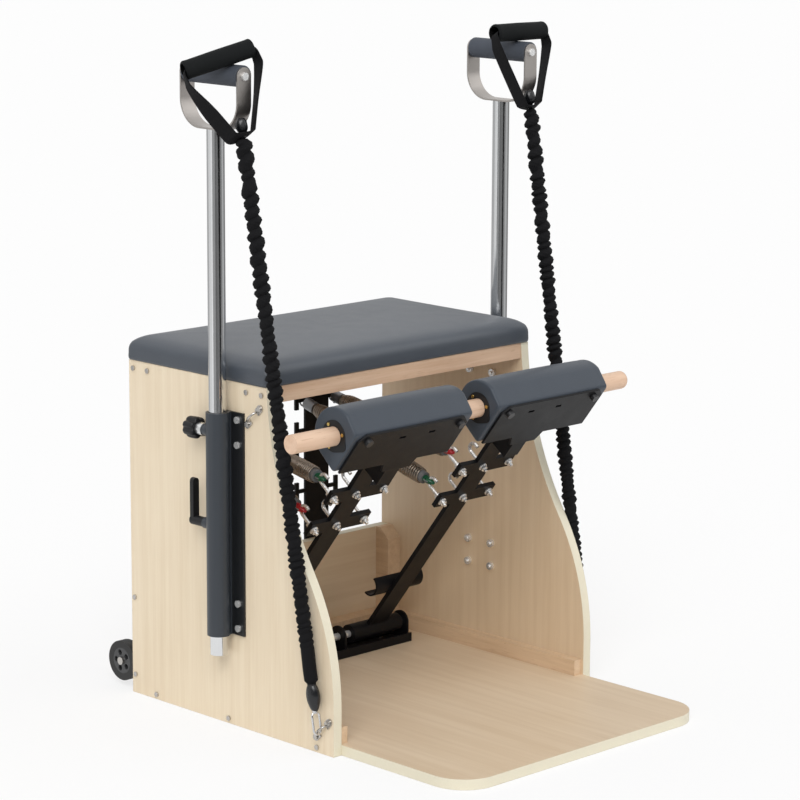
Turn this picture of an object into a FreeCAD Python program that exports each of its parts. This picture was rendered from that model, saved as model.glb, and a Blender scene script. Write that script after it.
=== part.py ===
import FreeCAD, Part
import math
import os
import re
import Sketcher

# A pilates chair. +Z is up, the front is -Y, the floor is Z = 0 and the origin lies
# under the middle of the base board. Lengths are in millimetres, angles in degrees.
Vec = FreeCAD.Vector
Turn = FreeCAD.Rotation

doc = FreeCAD.newDocument("PilatesChair")
sheet = doc.addObject("Spreadsheet::Sheet", "Sizes")

sizes = {
    # side panels, base and back boards
    "chair_width": 630,
    "panel_thick": 18,
    "panel_height": 600,
    "panel_depth": 520,
    "seat_depth": 357,
    "foot_height": 80,
    "lower_sweep": 403,
    "sweep_over": 31,
    "board_length": 804,
    "board_thick": 18,
    "board_corner": 65,
    "back_thick": 18,
    "back_height": 189,
    # rails and battens
    "rail_height": 28,
    "rail_depth": 62,
    "batten_side": 32,
    "batten_cut": 21,
    "floor_batten_width": 18,
    "floor_batten_height": 28,
    "floor_batten_setback": 5,
    # seat
    "seat_board_thick": 12,
    "seat_board_inset": 8,
    "cushion_thick": 50,
    "cushion_overhang": 4,
    "cushion_corner": 22,
    "cushion_roll": 16,
    "cushion_under": 7,
    "cushion_crown": 10,
    "cushion_waist": 3,
    # clearances and the overrun of cuts
    "soft_gap": 0.3,
    "run_gap": 0.3,
    "seat_gap": 0.12,
    "axle_gap": 0.1,
    "cut_over": 2,
    # wood screws
    "screw_head": 9,
    "screw_head_height": 2.6,
    "screw_dia": 4,
    "screw_length": 30,
    "short_screw_length": 14,
    "screw_pair": 38,
    # post sleeves
    "sleeve_dia": 40,
    "sleeve_bore": 34,
    "sleeve_length": 386,
    "sleeve_drop": 51,
    "sleeve_standoff": 24,
    "sleeve_back": 260.5,
    "flange_width": 84,
    "flange_thick": 4,
    "web_width": 26,
    "bush_length": 20,
    "bolt_dia": 6,
    "bolt_head": 12,
    "bolt_head_height": 4,
    "bolt_spread": 57,
    "bolt_end": 12.5,
    "bolt_step": 43,
    "nut_dia": 14,
    "nut_height": 6,
    "bolt_tail": 3,
    # sliding posts
    "post_dia": 30,
    "post_wall": 2,
    "post_sink": 34,
    "post_length": 895,
    "pin_dia": 8,
    "pin_rise": 351,
    "pin_step": 50,
    "boss_dia": 20,
    "boss_length": 12,
    "knob_dia": 38,
    "knob_length": 27,
    "knob_round": 5,
    "knob_neck_dia": 22,
    "knob_neck_length": 14,
    "lever_rise": 190,
    "lever_hub_dia": 17,
    "lever_hub_length": 33,
    "lever_length": 67,
    "lever_width": 13,
    "lever_thick": 9,
    # D handles
    "handle_width": 144,
    "strip_width": 30,
    "strip_thick": 3,
    "strip_bend": 48,
    "grip_rise": 91,
    "grip_dia": 36,
    "grip_round": 4,
    "grip_bolt_dia": 6,
    "grip_bolt_head": 13,
    "grip_bolt_length": 24,
    # strap handles
    "strap_grip_dia": 32,
    "strap_grip_length": 125,
    "strap_grip_bore": 20,
    "strap_core": 12,
    "strap_width": 28,
    "strap_thick": 2.6,
    "strap_bottom": 40,
    "strap_forward": 39.5,
    "strap_drop_forward": 84,
    "strap_drop": 4,
    "left_grip_shift": -28,
    "left_drop_shift": -14,
    "left_grip_yaw": -18,
    "left_grip_tilt": 15.5,
    "right_grip_shift": 2,
    "right_drop_shift": -12,
    "right_grip_yaw": 0,
    "right_grip_tilt": -0.5,
    # cords
    "cord_dia": 22,
    "cord_neck": 9,
    "neck_gap": 1.2,
    "stopper_dia": 20,
    "stopper_length": 26,
    "cord_slack": 3,
    "end_sleeve_dia": 15,
    "end_sleeve_length": 38,
    "hook_wire": 4,
    "hook_bend": 8,
    "hook_straight": 22,
    "swivel_dia": 10,
    "swivel_length": 12,
    # pad eyes
    "eye_spread": 44,
    "eye_plate": 13,
    "eye_plate_thick": 2.5,
    "eye_bend": 13,
    "eye_wire": 4,
    "eye_lean": 45,
    "upper_eye_back": 326.5,
    "upper_eye_drop": 52.5,
    "lower_eye_back": 495,
    "lower_eye_height": 43,
    # transport wheels
    "wheel_dia": 72,
    "wheel_width": 24,
    "wheel_round": 7,
    "wheel_inset": 10,
    "wheel_behind": 43,
    "wheel_height": 45.5,
    "hub_dia": 46,
    "hub_hole": 10,
    "hub_ring": 15,
    "wheel_bolt": 8,
    "wheel_bolt_head": 14,
    "wheel_bolt_head_height": 4,
    "bracket_thick": 4,
    "bracket_spacer": 5,
    "bracket_ear": 28,
    "bracket_wide": 50,
    "bracket_bottom": 20,
    "bracket_high": 51,
    # pivot of the pedals
    "pivot_back": 124.5,
    "pivot_height": 52,
    "axle_dia": 14,
    "axle_collar": 22,
    "axle_collar_length": 5,
    "pivot_width": 456,
    "pivot_plate_depth": 56,
    "pivot_plate_thick": 4,
    "pivot_lip": 16,
    "pivot_ear_round": 20,
    "pivot_middle": 140,
    # pedal arms
    "arm_rise": 52.1,
    "arm_offset": 154,
    "arm_width": 45,
    "arm_thick": 8,
    "pivot_tube_dia": 34,
    "tube_inner_gap": 23,
    "tube_outer_gap": 9,
    "lower_wing": 368,
    "upper_wing": 447.5,
    "wing_depth": 30,
    "wing_margin": 10,
    "hook_left": 52,
    "hook_right": 65,
    "trough_reach": 112,
    "trough_length": 118,
    "trough_dia": 40,
    "trough_wall": 3,
    "foot_length": 58,
    "foot_width": 34,
    # hook bolts
    "hook_dia": 6,
    "hook_radius": 9,
    "hook_reach": 28,
    "hook_tip": 6,
    "hook_tail": 5,
    "hook_nut": 12,
    "hook_nut_height": 5,
    "hook_washer": 16,
    "hook_washer_height": 1.6,
    # pedals and dowel
    "dowel_reach": 623,
    "dowel_ahead": 3,
    "dowel_dia": 32,
    "dowel_length": 801,
    "dowel_round": 9,
    "dowel_gap": 0.4,
    "pedal_gap": 60,
    "pedal_length": 276,
    "plate_inset": 12,
    "pad_radius": 48,
    "pad_foot": 36,
    "pad_flare": 3,
    "pad_draft": 11,
    "pad_edge": 3,
    "pad_swell": 1,
    "plate_thick": 4,
    "plate_chamfer": 14,
    "tab_width": 78,
    "tab_reach": 20,
    "tab_chamfer": 8,
    "slot_length": 14,
    "slot_width": 5,
    "flange_round": 27,
    "flange_toe": 9,
    "flange_toe_drop": 24,
    "flange_plate": 4,
    "eyelet_dia": 6,
    "eyelet_height": 1.4,
    "eyelet_pin": 3,
    "eyelet_pin_length": 12,
    "eyelet_ring": 21.5,
    "pedal_knob": 14,
    "pedal_knob_height": 7,
    "pedal_pin": 5,
    "pedal_pin_length": 18,
    # springs and racks
    "spring_dia": 28,
    "spring_wire": 4,
    "spring_end_dia": 18,
    "ring_radius": 8,
    "ring_wire": 3,
    "spring_bush": 22,
    "spring_bush_length": 24,
    "rear_ring_radius": 10,
    "rack_shift": 24,
    "rack_width": 58,
    "rack_thick": 5,
    "rack_bottom": 60,
    "rack_drop": 10,
    "tab_drop": 130,
    "tab_step": 57,
    "neck_length": 16,
    "neck_height": 7,
    "tee_width": 8,
    "tee_height": 34,
}

# counts, and places given as shares of the piece that carries them
spring_curls = 24
taper_curls = 3
hub_holes = 5
pin_holes_below = 5
pin_holes_above = 7
rack_tabs = 4
back_screw_shares = (0.085, 0.83)
base_screw_shares = (0.127, 0.496, 0.923)
pivot_screw_shares = (-0.42, -0.08, 0.08, 0.42)
cushion_roll_shares = ((0.0, 1.0), (0.45, 0.35), (1.0, 0.0))
crown_inset_shares = ((0.08, 0.55), (0.2, 0.85), (0.34, 1.0))
pad_edge_shares = ((0.0, 1.0), (0.012, 0.3), (0.035, 0.0))
slot_shares = (0.31, 0.58)
knob_shares = (0.07, 0.914)
knob_row_share = 0.84
slot_row_share = 0.72
eyelet_angles = (-70, 40, 170)
arm_sides = (("left", -1), ("right", 1))

for row, (alias, number) in enumerate(sizes.items(), start=1):
    sheet.set("A%d" % row, alias)
    sheet.set("B%d" % row, str(number))
    sheet.setAlias("B%d" % row, alias)
doc.recompute()


def size(name):
    return float(sheet.get(name))


def formula(text):
    def named(word):
        return "Sizes." + word.group() if word.group() in sizes else word.group()
    return re.sub(r"[a-z][a-z_]+", named, text)


def bind(piece, **formulas):
    for prop, text in formulas.items():
        piece.setExpression(prop, formula(text))
    return piece


def place(piece, x="0", y="0", z="0", turn=None):
    if turn is not None:
        piece.Placement = FreeCAD.Placement(Vec(), turn)
    for axis, text in zip("xyz", (x, y, z)):
        piece.setExpression("Placement.Base." + axis, formula(text))
    return piece


def box(name, wide, deep, high, x, y, z):
    piece = bind(doc.addObject("Part::Box", name), Length=wide, Width=deep, Height=high)
    return place(piece, x, y, z)


turns = {
    "+x": Turn(Vec(0, 1, 0), 90),
    "-x": Turn(Vec(0, 1, 0), -90),
    "+y": Turn(Vec(1, 0, 0), -90),
    "-y": Turn(Vec(1, 0, 0), 90),
    "+z": Turn(),
    "-z": Turn(Vec(1, 0, 0), 180),
}
opposite = {"+x": "-x", "-x": "+x", "+y": "-y", "-y": "+y", "+z": "-z", "-z": "+z"}


def rod(name, along, diameter, length, x, y, z):
    piece = bind(doc.addObject("Part::Cylinder", name), Radius="(%s) / 2" % diameter, Height=length)
    return place(piece, x, y, z, turns[along])


def round_rod(name, along, diameter, length, rounding, x, y, z):
    # a rod whose two rims are rounded; a cylinder's rims are its first and third edges
    core = rod(name + "_core", along, diameter, length, x, y, z)
    doc.recompute()
    piece = doc.addObject("Part::Fillet", name)
    piece.Base = core
    piece.Edges = [(1, size(rounding), size(rounding)), (3, size(rounding), size(rounding))]
    return piece


def join(name, *pieces):
    piece = doc.addObject("Part::MultiFuse", name)
    piece.Shapes = list(pieces)
    piece.Refine = True
    return piece


def cut(name, base, *tools):
    piece = doc.addObject("Part::Cut", name)
    piece.Base = base
    piece.Tool = tools[0] if len(tools) == 1 else group(name + "_tools", tools)
    piece.Refine = True
    return piece


def group(name, pieces):
    piece = doc.addObject("Part::Compound", name)
    piece.Links = list(pieces)
    return piece


def shaped(name, shape, placement=None):
    piece = doc.addObject("Part::Feature", name)
    piece.Shape = shape
    if placement is not None:
        piece.Placement = placement
    return piece


nodes = []


def node(label, piece):
    piece.Label = label
    nodes.append(piece)
    return piece


def on_side(sign, text):
    return "%d * (%s)" % (sign, text)


def low_x(sign, near, wide):
    # low corner of a box that starts at distance near from the middle and is wide outwards
    return near if sign > 0 else "-(%s) - (%s)" % (near, wide)


def post_top_level():
    sleeve = size("panel_height") - size("sleeve_drop") - size("sleeve_length")
    return sleeve - size("post_sink") + size("post_length")


outwards = {-1: "-x", 1: "+x"}
rear = "board_length / 2"
outer = "chair_width / 2"
inner = "(chair_width / 2 - panel_thick)"
sleeve_low = "(panel_height - sleeve_drop - sleeve_length)"
post_low = "(%s - post_sink)" % sleeve_low
pin_level = "(%s + pin_rise)" % sleeve_low
lever_level = "(%s + lever_rise)" % sleeve_low
inner_width = "(chair_width - 2 * panel_thick)"


# Screws: a round head outside, a shank inside, and the hole that the wood has for it
def moved(spot, along, text):
    spot = list(spot)
    index = "xyz".index(along[1])
    spot[index] = "%s %s (%s)" % (spot[index], along[0], text)
    return spot


def screw(name, out, spot, length):
    inward = opposite[out]
    head = rod(name + "_head", out, "screw_head", "screw_head_height", *spot)
    shank = rod(name + "_shank", inward, "screw_dia", length, *spot)
    return join(name, head, shank)


def screw_hole(name, out, spot, length):
    start = moved(spot, out, "cut_over")
    wide = "screw_dia + 2 * seat_gap"
    return rod(name, opposite[out], wide, length + " + 2 * cut_over", *start)


screws = []
panel_holes = {-1: [], 1: []}
carcass_holes = []


def panel_screw(name, sign, y, z, length, lift="0"):
    spot = (on_side(sign, outer + " + " + lift), y, z)
    screws.append(screw(name, outwards[sign], spot, length))
    hole = screw_hole(name + "_hole", outwards[sign], spot, length)
    panel_holes[sign].append(hole)
    return hole


for side, sign in arm_sides:
    for end, middle in (("rear", rear + " - rail_depth / 2"),
                        ("front", rear + " - seat_depth + rail_depth / 2")):
        for step in (-1, 1):
            y = "%s + %d * screw_pair / 2" % (middle, step)
            z = "panel_height - rail_height / 2"
            name = "%s_%s_rail_screw" % (side, end)
            carcass_holes.append(panel_screw(name, sign, y, z, "screw_length"))
    for share in back_screw_shares:
        y = rear + " - back_thick / 2"
        z = "board_thick + back_height * %s" % share
        carcass_holes.append(panel_screw(side + "_back_screw", sign, y, z, "screw_length"))
    for share in base_screw_shares:
        y = "%s - panel_depth * %s" % (rear, share)
        z = "board_thick / 2"
        carcass_holes.append(panel_screw(side + "_base_screw", sign, y, z, "screw_length"))

# Pad eyes: a plate with two screws and a half ring of wire, leaning along a diagonal
eye_spots = {
    "upper": (size("board_length") / 2 - size("upper_eye_back"),
              size("panel_height") - size("upper_eye_drop")),
    "lower": (size("board_length") / 2 - size("lower_eye_back"), size("lower_eye_height")),
}


def pad_eye(sign, y, z):
    lean = math.radians(size("eye_lean"))
    along = Vec(0, -math.cos(lean), math.sin(lean))
    out = Vec(sign, 0, 0)
    half = size("eye_spread") / 2
    plate_round = size("eye_plate") / 2
    thick = size("eye_plate_thick")
    eye = Part.makeTorus(size("eye_bend"), size("eye_wire") / 2, Vec(), Vec(0, 1, 0))
    room = 2 * size("eye_bend")
    eye = eye.common(Part.makeBox(2 * room, 2 * room, room, Vec(-room, -room, thick / 2)))
    near = size("eye_bend") - size("eye_wire") / 2
    for low, end in ((-half, -half), (near, half)):
        tab = Part.makeBox(half - near, 2 * plate_round, thick, Vec(low, -plate_round, 0))
        tab = tab.fuse(Part.makeCylinder(plate_round, thick, Vec(end, 0, 0)))
        hole = Part.makeCylinder(size("screw_dia") / 2 + size("seat_gap"), thick, Vec(end, 0, 0))
        eye = eye.fuse(tab.cut(hole))
    eye = eye.removeSplitter()
    frame = Turn(along, out.cross(along), out, "ZXY")
    eye.Placement = FreeCAD.Placement(Vec(sign * size("chair_width") / 2, y, z), frame)
    return eye


eyes = []
for side, sign in arm_sides:
    for level, (y, z) in eye_spots.items():
        eyes.append(shaped("%s_%s_eye" % (side, level), pad_eye(sign, y, z)))
    for level, y, z in (("upper", rear + " - upper_eye_back", "panel_height - upper_eye_drop"),
                        ("lower", rear + " - lower_eye_back", "lower_eye_height")):
        for step in (-1, 1):
            foot_y = "%s - %d * eye_spread / 2 * cos(eye_lean)" % (y, step)
            foot_z = "%s + %d * eye_spread / 2 * sin(eye_lean)" % (z, step)
            name = "%s_%s_eye_screw" % (side, level)
            panel_screw(name, sign, foot_y, foot_z, "short_screw_length", "eye_plate_thick")
node("pad_eyes", group("eye_group", eyes))

# Post sleeves: a flanged tube on each panel's outer face, held by eight bolts
sleeve_y = rear + " - sleeve_back"
sleeve_x = outer + " + sleeve_standoff"
bolts = []
bushes = []


def bolt_rows():
    bottom = sleeve_low + " + bolt_end"
    top = sleeve_low + " + sleeve_length - bolt_end"
    return (bottom, bottom + " + bolt_step", top + " - bolt_step", top)


for side, sign in arm_sides:
    x = on_side(sign, sleeve_x)
    flange = box(side + "_flange", "flange_thick", "flange_width", "sleeve_length",
                 low_x(sign, outer, "flange_thick"), sleeve_y + " - flange_width / 2", sleeve_low)
    web_start = outer + " + flange_thick / 2"
    web_reach = "sleeve_standoff - flange_thick / 2"
    web = box(side + "_web", web_reach, "web_width", "sleeve_length",
              low_x(sign, web_start, web_reach), sleeve_y + " - web_width / 2", sleeve_low)
    tube = rod(side + "_sleeve_tube", "+z", "sleeve_dia", "sleeve_length", x, sleeve_y, sleeve_low)
    boss_reach = "sleeve_dia / 2 + boss_length"
    pin_boss = rod(side + "_pin_boss", "+y", "boss_dia", boss_reach, x, sleeve_y, pin_level)
    lever_boss = rod(side + "_lever_boss", "+y", "boss_dia", boss_reach, x, sleeve_y, lever_level)
    tools = [rod(side + "_sleeve_bore", "+z", "sleeve_bore", "sleeve_length + 2 * cut_over",
                 x, sleeve_y, sleeve_low + " - cut_over")]
    for name, height in (("_pin_hole", pin_level), ("_stud_hole", lever_level)):
        tools.append(rod(side + name, "+y", "pin_dia + 2 * run_gap", boss_reach + " + cut_over",
                         x, sleeve_y, height))
    for height in bolt_rows():
        for step in (-1, 1):
            y = "%s + %d * bolt_spread / 2" % (sleeve_y, step)
            through = "panel_thick + flange_thick"
            hole_x = on_side(sign, outer + " + flange_thick + cut_over")
            inward = opposite[outwards[sign]]
            hole = rod(side + "_bolt_hole", inward, "bolt_dia + 2 * seat_gap",
                       through + " + 2 * cut_over", hole_x, y, height)
            tools.append(hole)
            panel_holes[sign].append(hole)
            seat_x = on_side(sign, outer + " + flange_thick")
            head = rod(side + "_bolt_head", outwards[sign], "bolt_head", "bolt_head_height",
                       seat_x, y, height)
            shank = rod(side + "_bolt_shank", inward, "bolt_dia",
                        through + " + nut_height + bolt_tail", seat_x, y, height)
            bolts.append(join(side + "_sleeve_bolt", head, shank))
            nut_x = on_side(sign, inner)
            nut = rod(side + "_nut_blank", inward, "nut_dia", "nut_height", nut_x, y, height)
            bolts.append(cut(side + "_sleeve_nut", nut, hole))
    blank = join(side + "_sleeve_blank", flange, web, tube, pin_boss, lever_boss)
    node(side + "_post_sleeve", cut(side + "_sleeve", blank, *tools))
    for end in (sleeve_low, sleeve_low + " + sleeve_length - bush_length"):
        outside = rod(side + "_bush_blank", "+z", "sleeve_bore - 2 * seat_gap", "bush_length",
                      x, sleeve_y, end)
        bore = rod(side + "_bush_bore", "+z", "post_dia + 2 * run_gap", "bush_length + 2 * cut_over",
                   x, sleeve_y, end + " - cut_over")
        bushes.append(cut(side + "_bush", outside, bore))
node("sleeve_bushes", group("bush_group", bushes))
node("sleeve_bolts", group("bolt_group", bolts))


# Sketches: lines and arcs joined end to end, with their dimensions tied to the sheet
def plane_sketch(body, role, name):
    sketch = body.newObject("Sketcher::SketchObject", name)
    plane = [part for part in body.Origin.OriginFeatures if part.Role == role][0]
    sketch.AttachmentSupport = [(plane, "")]
    sketch.MapMode = "FlatFace"
    return sketch


def dimension(sketch, name, text, *constraint):
    index = sketch.addConstraint(Sketcher.Constraint(*constraint))
    sketch.renameConstraint(index, name)
    sketch.setExpression("Constraints." + name, formula(text))


def line(start, end):
    return Part.LineSegment(start, end)


def arc(center, radius, start, end):
    angles = [math.atan2(point.y - center.y, point.x - center.x) for point in (start, end)]
    return Part.ArcOfCircle(Part.Circle(center, Vec(0, 0, 1), radius), *angles)


def panel_outline(sketch):
    # an S-shaped front edge: a convex sweep from the foot, then a hollow one up to the seat
    back = size("board_length") / 2
    foot = back - size("panel_depth")
    front = back - size("seat_depth")
    high = size("panel_height")
    over = size("sweep_over")
    low = size("lower_sweep")
    reach = foot + low - front
    rise = high + over - size("foot_height")
    rest = (low ** 2 + over ** 2 - rise ** 2 - reach ** 2) / 2
    square = low ** 2 - reach ** 2
    root = math.sqrt((low * rest) ** 2 - square * (rest ** 2 + (reach * over) ** 2))
    top = (root - low * rest) / square
    low_center = Vec(foot + low, size("foot_height"), 0)
    top_center = Vec(front - math.sqrt(top ** 2 - over ** 2), high + over, 0)
    meet = top_center + (low_center - top_center) * (top / (top + low))
    corner = [Vec(foot, 0, 0), Vec(back, 0, 0), Vec(back, high, 0), Vec(front, high, 0)]
    knee = Vec(foot, size("foot_height"), 0)
    for piece in (line(corner[0], corner[1]), line(corner[1], corner[2]), line(corner[2], corner[3]),
                  arc(top_center, top, meet, corner[3]), arc(low_center, low, meet, knee),
                  line(knee, corner[0])):
        sketch.addGeometry(piece, False)
    for first, second in (((0, 2), (1, 1)), ((1, 2), (2, 1)), ((2, 2), (3, 2)), ((5, 2), (0, 1))):
        sketch.addConstraint(Sketcher.Constraint("Coincident", *first, *second))
    sketch.addConstraint(Sketcher.Constraint("Tangent", 3, 1, 4, 1))
    sketch.addConstraint(Sketcher.Constraint("Tangent", 4, 2, 5, 1))
    for index, kind in enumerate(("Horizontal", "Vertical", "Horizontal")):
        sketch.addConstraint(Sketcher.Constraint(kind, index))
    sketch.addConstraint(Sketcher.Constraint("Vertical", 5))
    sketch.addConstraint(Sketcher.Constraint("PointOnObject", 0, 1, -1))
    dimension(sketch, "back_edge", rear, "DistanceX", -1, 1, 0, 2, back)
    dimension(sketch, "depth", "panel_depth", "DistanceX", 0, 1, 0, 2, back - foot)
    dimension(sketch, "height", "panel_height", "DistanceY", 1, 1, 1, 2, high)
    dimension(sketch, "seat", "seat_depth", "DistanceX", 2, 2, 2, 1, back - front)
    dimension(sketch, "foot", "foot_height", "DistanceY", 5, 2, 5, 1, knee.y)
    dimension(sketch, "sweep", "lower_sweep", "Radius", 4, low)
    dimension(sketch, "over", "sweep_over", "DistanceY", 3, 2, 3, 3, over)


for side, sign in arm_sides:
    body = doc.addObject("PartDesign::Body", side + "_panel_blank")
    sketch = plane_sketch(body, "YZ_Plane", side + "_panel_outline")
    panel_outline(sketch)
    pad = body.newObject("PartDesign::Pad", side + "_panel_pad")
    pad.Profile = sketch
    bind(pad, Length="panel_thick")
    place(body, low_x(sign, inner, "panel_thick"))
    node(side + "_side_panel", cut(side + "_panel", body, *panel_holes[sign]))


def board_outline(sketch):
    # a rectangle between the panels with two rounded front corners
    half = size("chair_width") / 2 - size("panel_thick")
    back = size("board_length") / 2
    corner = size("board_corner")
    left, right = Vec(-half, back, 0), Vec(half, back, 0)
    centers = [Vec(-half + corner, -back + corner, 0), Vec(half - corner, -back + corner, 0)]
    drop = Vec(0, -corner, 0)
    aside = Vec(corner, 0, 0)
    ends = [centers[0] - aside, centers[0] + drop, centers[1] + drop, centers[1] + aside]
    for piece in (line(right, left), line(left, ends[0]), arc(centers[0], corner, ends[0], ends[1]),
                  line(ends[1], ends[2]), arc(centers[1], corner, ends[2], ends[3]),
                  line(ends[3], right)):
        sketch.addGeometry(piece, False)
    for first, second in (((0, 2), (1, 1)), ((5, 2), (0, 1))):
        sketch.addConstraint(Sketcher.Constraint("Coincident", *first, *second))
    for first in (1, 2, 3, 4):
        sketch.addConstraint(Sketcher.Constraint("Tangent", first, 2, first + 1, 1))
    for index, kind in ((0, "Horizontal"), (1, "Vertical"), (3, "Horizontal"), (5, "Vertical")):
        sketch.addConstraint(Sketcher.Constraint(kind, index))
    sketch.addConstraint(Sketcher.Constraint("Equal", 2, 4))
    dimension(sketch, "corner", "board_corner", "Radius", 2, corner)
    dimension(sketch, "half", inner, "DistanceX", -1, 1, 0, 1, half)
    dimension(sketch, "width", inner_width, "DistanceX", 0, 2, 0, 1, 2 * half)
    dimension(sketch, "back", rear, "DistanceY", -1, 1, 0, 1, back)
    dimension(sketch, "length", "board_length", "DistanceY", 3, 1, 0, 2, 2 * back)


# Pivot bracket of the pedals on the base board, and its axle
pivot_y = rear + " - pivot_back"
pivot_holes = []
for share in pivot_screw_shares:
    for step in (-1, 1):
        spot = ("pivot_width * %s" % share,
                "%s + %d * (pivot_plate_depth / 2 - screw_head)" % (pivot_y, step),
                "board_thick + pivot_plate_thick")
        screws.append(screw("pivot_screw", "+z", spot, "short_screw_length"))
        pivot_holes.append(screw_hole("pivot_screw_hole", "+z", spot, "short_screw_length"))

body = doc.addObject("PartDesign::Body", "base_blank")
sketch = plane_sketch(body, "XY_Plane", "base_outline")
board_outline(sketch)
pad = body.newObject("PartDesign::Pad", "base_pad")
pad.Profile = sketch
bind(pad, Length="board_thick")
node("base_board", cut("base", body, *(carcass_holes + pivot_holes)))

pivot_pieces = [box("pivot_plate", "pivot_width", "pivot_plate_depth", "pivot_plate_thick",
                    "-pivot_width / 2", pivot_y + " - pivot_plate_depth / 2", "board_thick")]
for y in (" - pivot_plate_depth / 2", " + pivot_plate_depth / 2 - pivot_plate_thick"):
    pivot_pieces.append(box("pivot_lip_wall", "pivot_width", "pivot_plate_thick", "pivot_lip",
                            "-pivot_width / 2", pivot_y + y, "board_thick"))
for x in ("-pivot_width / 2", "-pivot_middle / 2", "pivot_middle / 2 - pivot_plate_thick",
          "pivot_width / 2 - pivot_plate_thick"):
    pivot_pieces.append(box("pivot_ear", "pivot_plate_thick", "2 * pivot_ear_round",
                            "pivot_height - board_thick", x, pivot_y + " - pivot_ear_round",
                            "board_thick"))
    pivot_pieces.append(rod("pivot_ear_top", "+x", "2 * pivot_ear_round", "pivot_plate_thick",
                            x, pivot_y, "pivot_height"))
axle_bore = rod("pivot_bore", "+x", "axle_dia + 2 * axle_gap", "pivot_width + 2 * cut_over",
                "-pivot_width / 2 - cut_over", pivot_y, "pivot_height")
node("pivot_bracket", cut("pivot", join("pivot_blank", *pivot_pieces), axle_bore, *pivot_holes))
axle_pieces = [rod("axle_bar", "+x", "axle_dia", "pivot_width", "-pivot_width / 2", pivot_y,
                   "pivot_height")]
for sign in (-1, 1):
    axle_pieces.append(rod("axle_collar_ring", outwards[sign], "axle_collar", "axle_collar_length",
                           on_side(sign, "pivot_width / 2"), pivot_y, "pivot_height"))
node("pivot_axle", join("axle", *axle_pieces))

# Transport wheels on brackets behind the back board
wheel_x = outer + " - wheel_inset - wheel_width / 2"
wheel_y = rear + " + wheel_behind"
ear_x = wheel_x + " - wheel_width / 2 - run_gap - bracket_spacer - bracket_thick"
back_holes = []
brackets = []
wheel_bolts = []
for side, sign in arm_sides:
    x = on_side(sign, wheel_x) + " - wheel_width / 2"
    bolt_start = on_side(sign, wheel_x + " + wheel_width / 2 + run_gap")
    inward = opposite[outwards[sign]]
    bolt_length = "wheel_width + 2 * run_gap + bracket_spacer + bracket_thick + wheel_bolt_head_height"
    tyre_bore = rod(side + "_tyre_bore", "+x", "hub_dia + 2 * seat_gap", "wheel_width", x, wheel_y,
                    "wheel_height")
    tyre = round_rod(side + "_tyre_blank", "+x", "wheel_dia", "wheel_width", "wheel_round",
                     x, wheel_y, "wheel_height")
    hub = rod(side + "_hub_blank", "+x", "hub_dia", "wheel_width", x, wheel_y, "wheel_height")
    hub_tools = [rod(side + "_hub_bore", "+x", "wheel_bolt + 2 * axle_gap", "wheel_width", x, wheel_y,
                     "wheel_height")]
    for index in range(hub_holes):
        turn = 360 * index / hub_holes
        hub_tools.append(rod(side + "_hub_hole", "+x", "hub_hole", "wheel_width", x,
                             "%s + hub_ring * cos(%s)" % (wheel_y, turn),
                             "wheel_height + hub_ring * sin(%s)" % turn))
    node(side + "_wheel", group(side + "_wheel_group", [cut(side + "_tyre", tyre, tyre_bore),
                                                        cut(side + "_hub", hub, *hub_tools)]))
    head = rod(side + "_wheel_bolt_head", outwards[sign], "wheel_bolt_head", "wheel_bolt_head_height",
               bolt_start, wheel_y, "wheel_height")
    shank = rod(side + "_wheel_bolt_shank", inward, "wheel_bolt", bolt_length, bolt_start, wheel_y,
                "wheel_height")
    nut_start = on_side(sign, ear_x)
    nut = rod(side + "_wheel_nut", inward, "wheel_bolt_head", "wheel_bolt_head_height", nut_start,
              wheel_y, "wheel_height")
    wheel_bolts.append(join(side + "_wheel_bolt", head, shank, nut))
    ear = box(side + "_bracket_ear", "bracket_thick", "wheel_behind", "bracket_ear",
              low_x(sign, ear_x, "bracket_thick"), rear, "wheel_height - bracket_ear / 2")
    tip = rod(side + "_bracket_tip", outwards[sign], "bracket_ear", "bracket_thick",
              on_side(sign, ear_x), wheel_y, "wheel_height")
    spacer = rod(side + "_bracket_boss", outwards[sign], "wheel_bolt_head",
                 "bracket_spacer + bracket_thick", on_side(sign, ear_x), wheel_y, "wheel_height")
    foot = box(side + "_bracket_foot", "bracket_wide", "bracket_thick", "bracket_high",
               low_x(sign, ear_x + " + bracket_thick - bracket_wide", "bracket_wide"), rear,
               "bracket_bottom")
    tools = [rod(side + "_bracket_hole", inward, "wheel_bolt + 2 * seat_gap", bolt_length,
                 bolt_start, wheel_y, "wheel_height")]
    for step in (-1, 1):
        spot = (on_side(sign, ear_x + " + bracket_thick - bracket_wide / 2 - screw_head"),
                rear + " + bracket_thick",
                "bracket_bottom + bracket_high / 2 + %d * (bracket_high / 2 - screw_head)" % step)
        screws.append(screw(side + "_bracket_screw", "+y", spot, "short_screw_length"))
        hole = screw_hole(side + "_bracket_screw_hole", "+y", spot, "short_screw_length")
        tools.append(hole)
        back_holes.append(hole)
    blank = join(side + "_bracket_blank", ear, tip, spacer, foot)
    brackets.append(cut(side + "_bracket", blank, *tools))
node("wheel_brackets", group("bracket_group", brackets))

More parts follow.
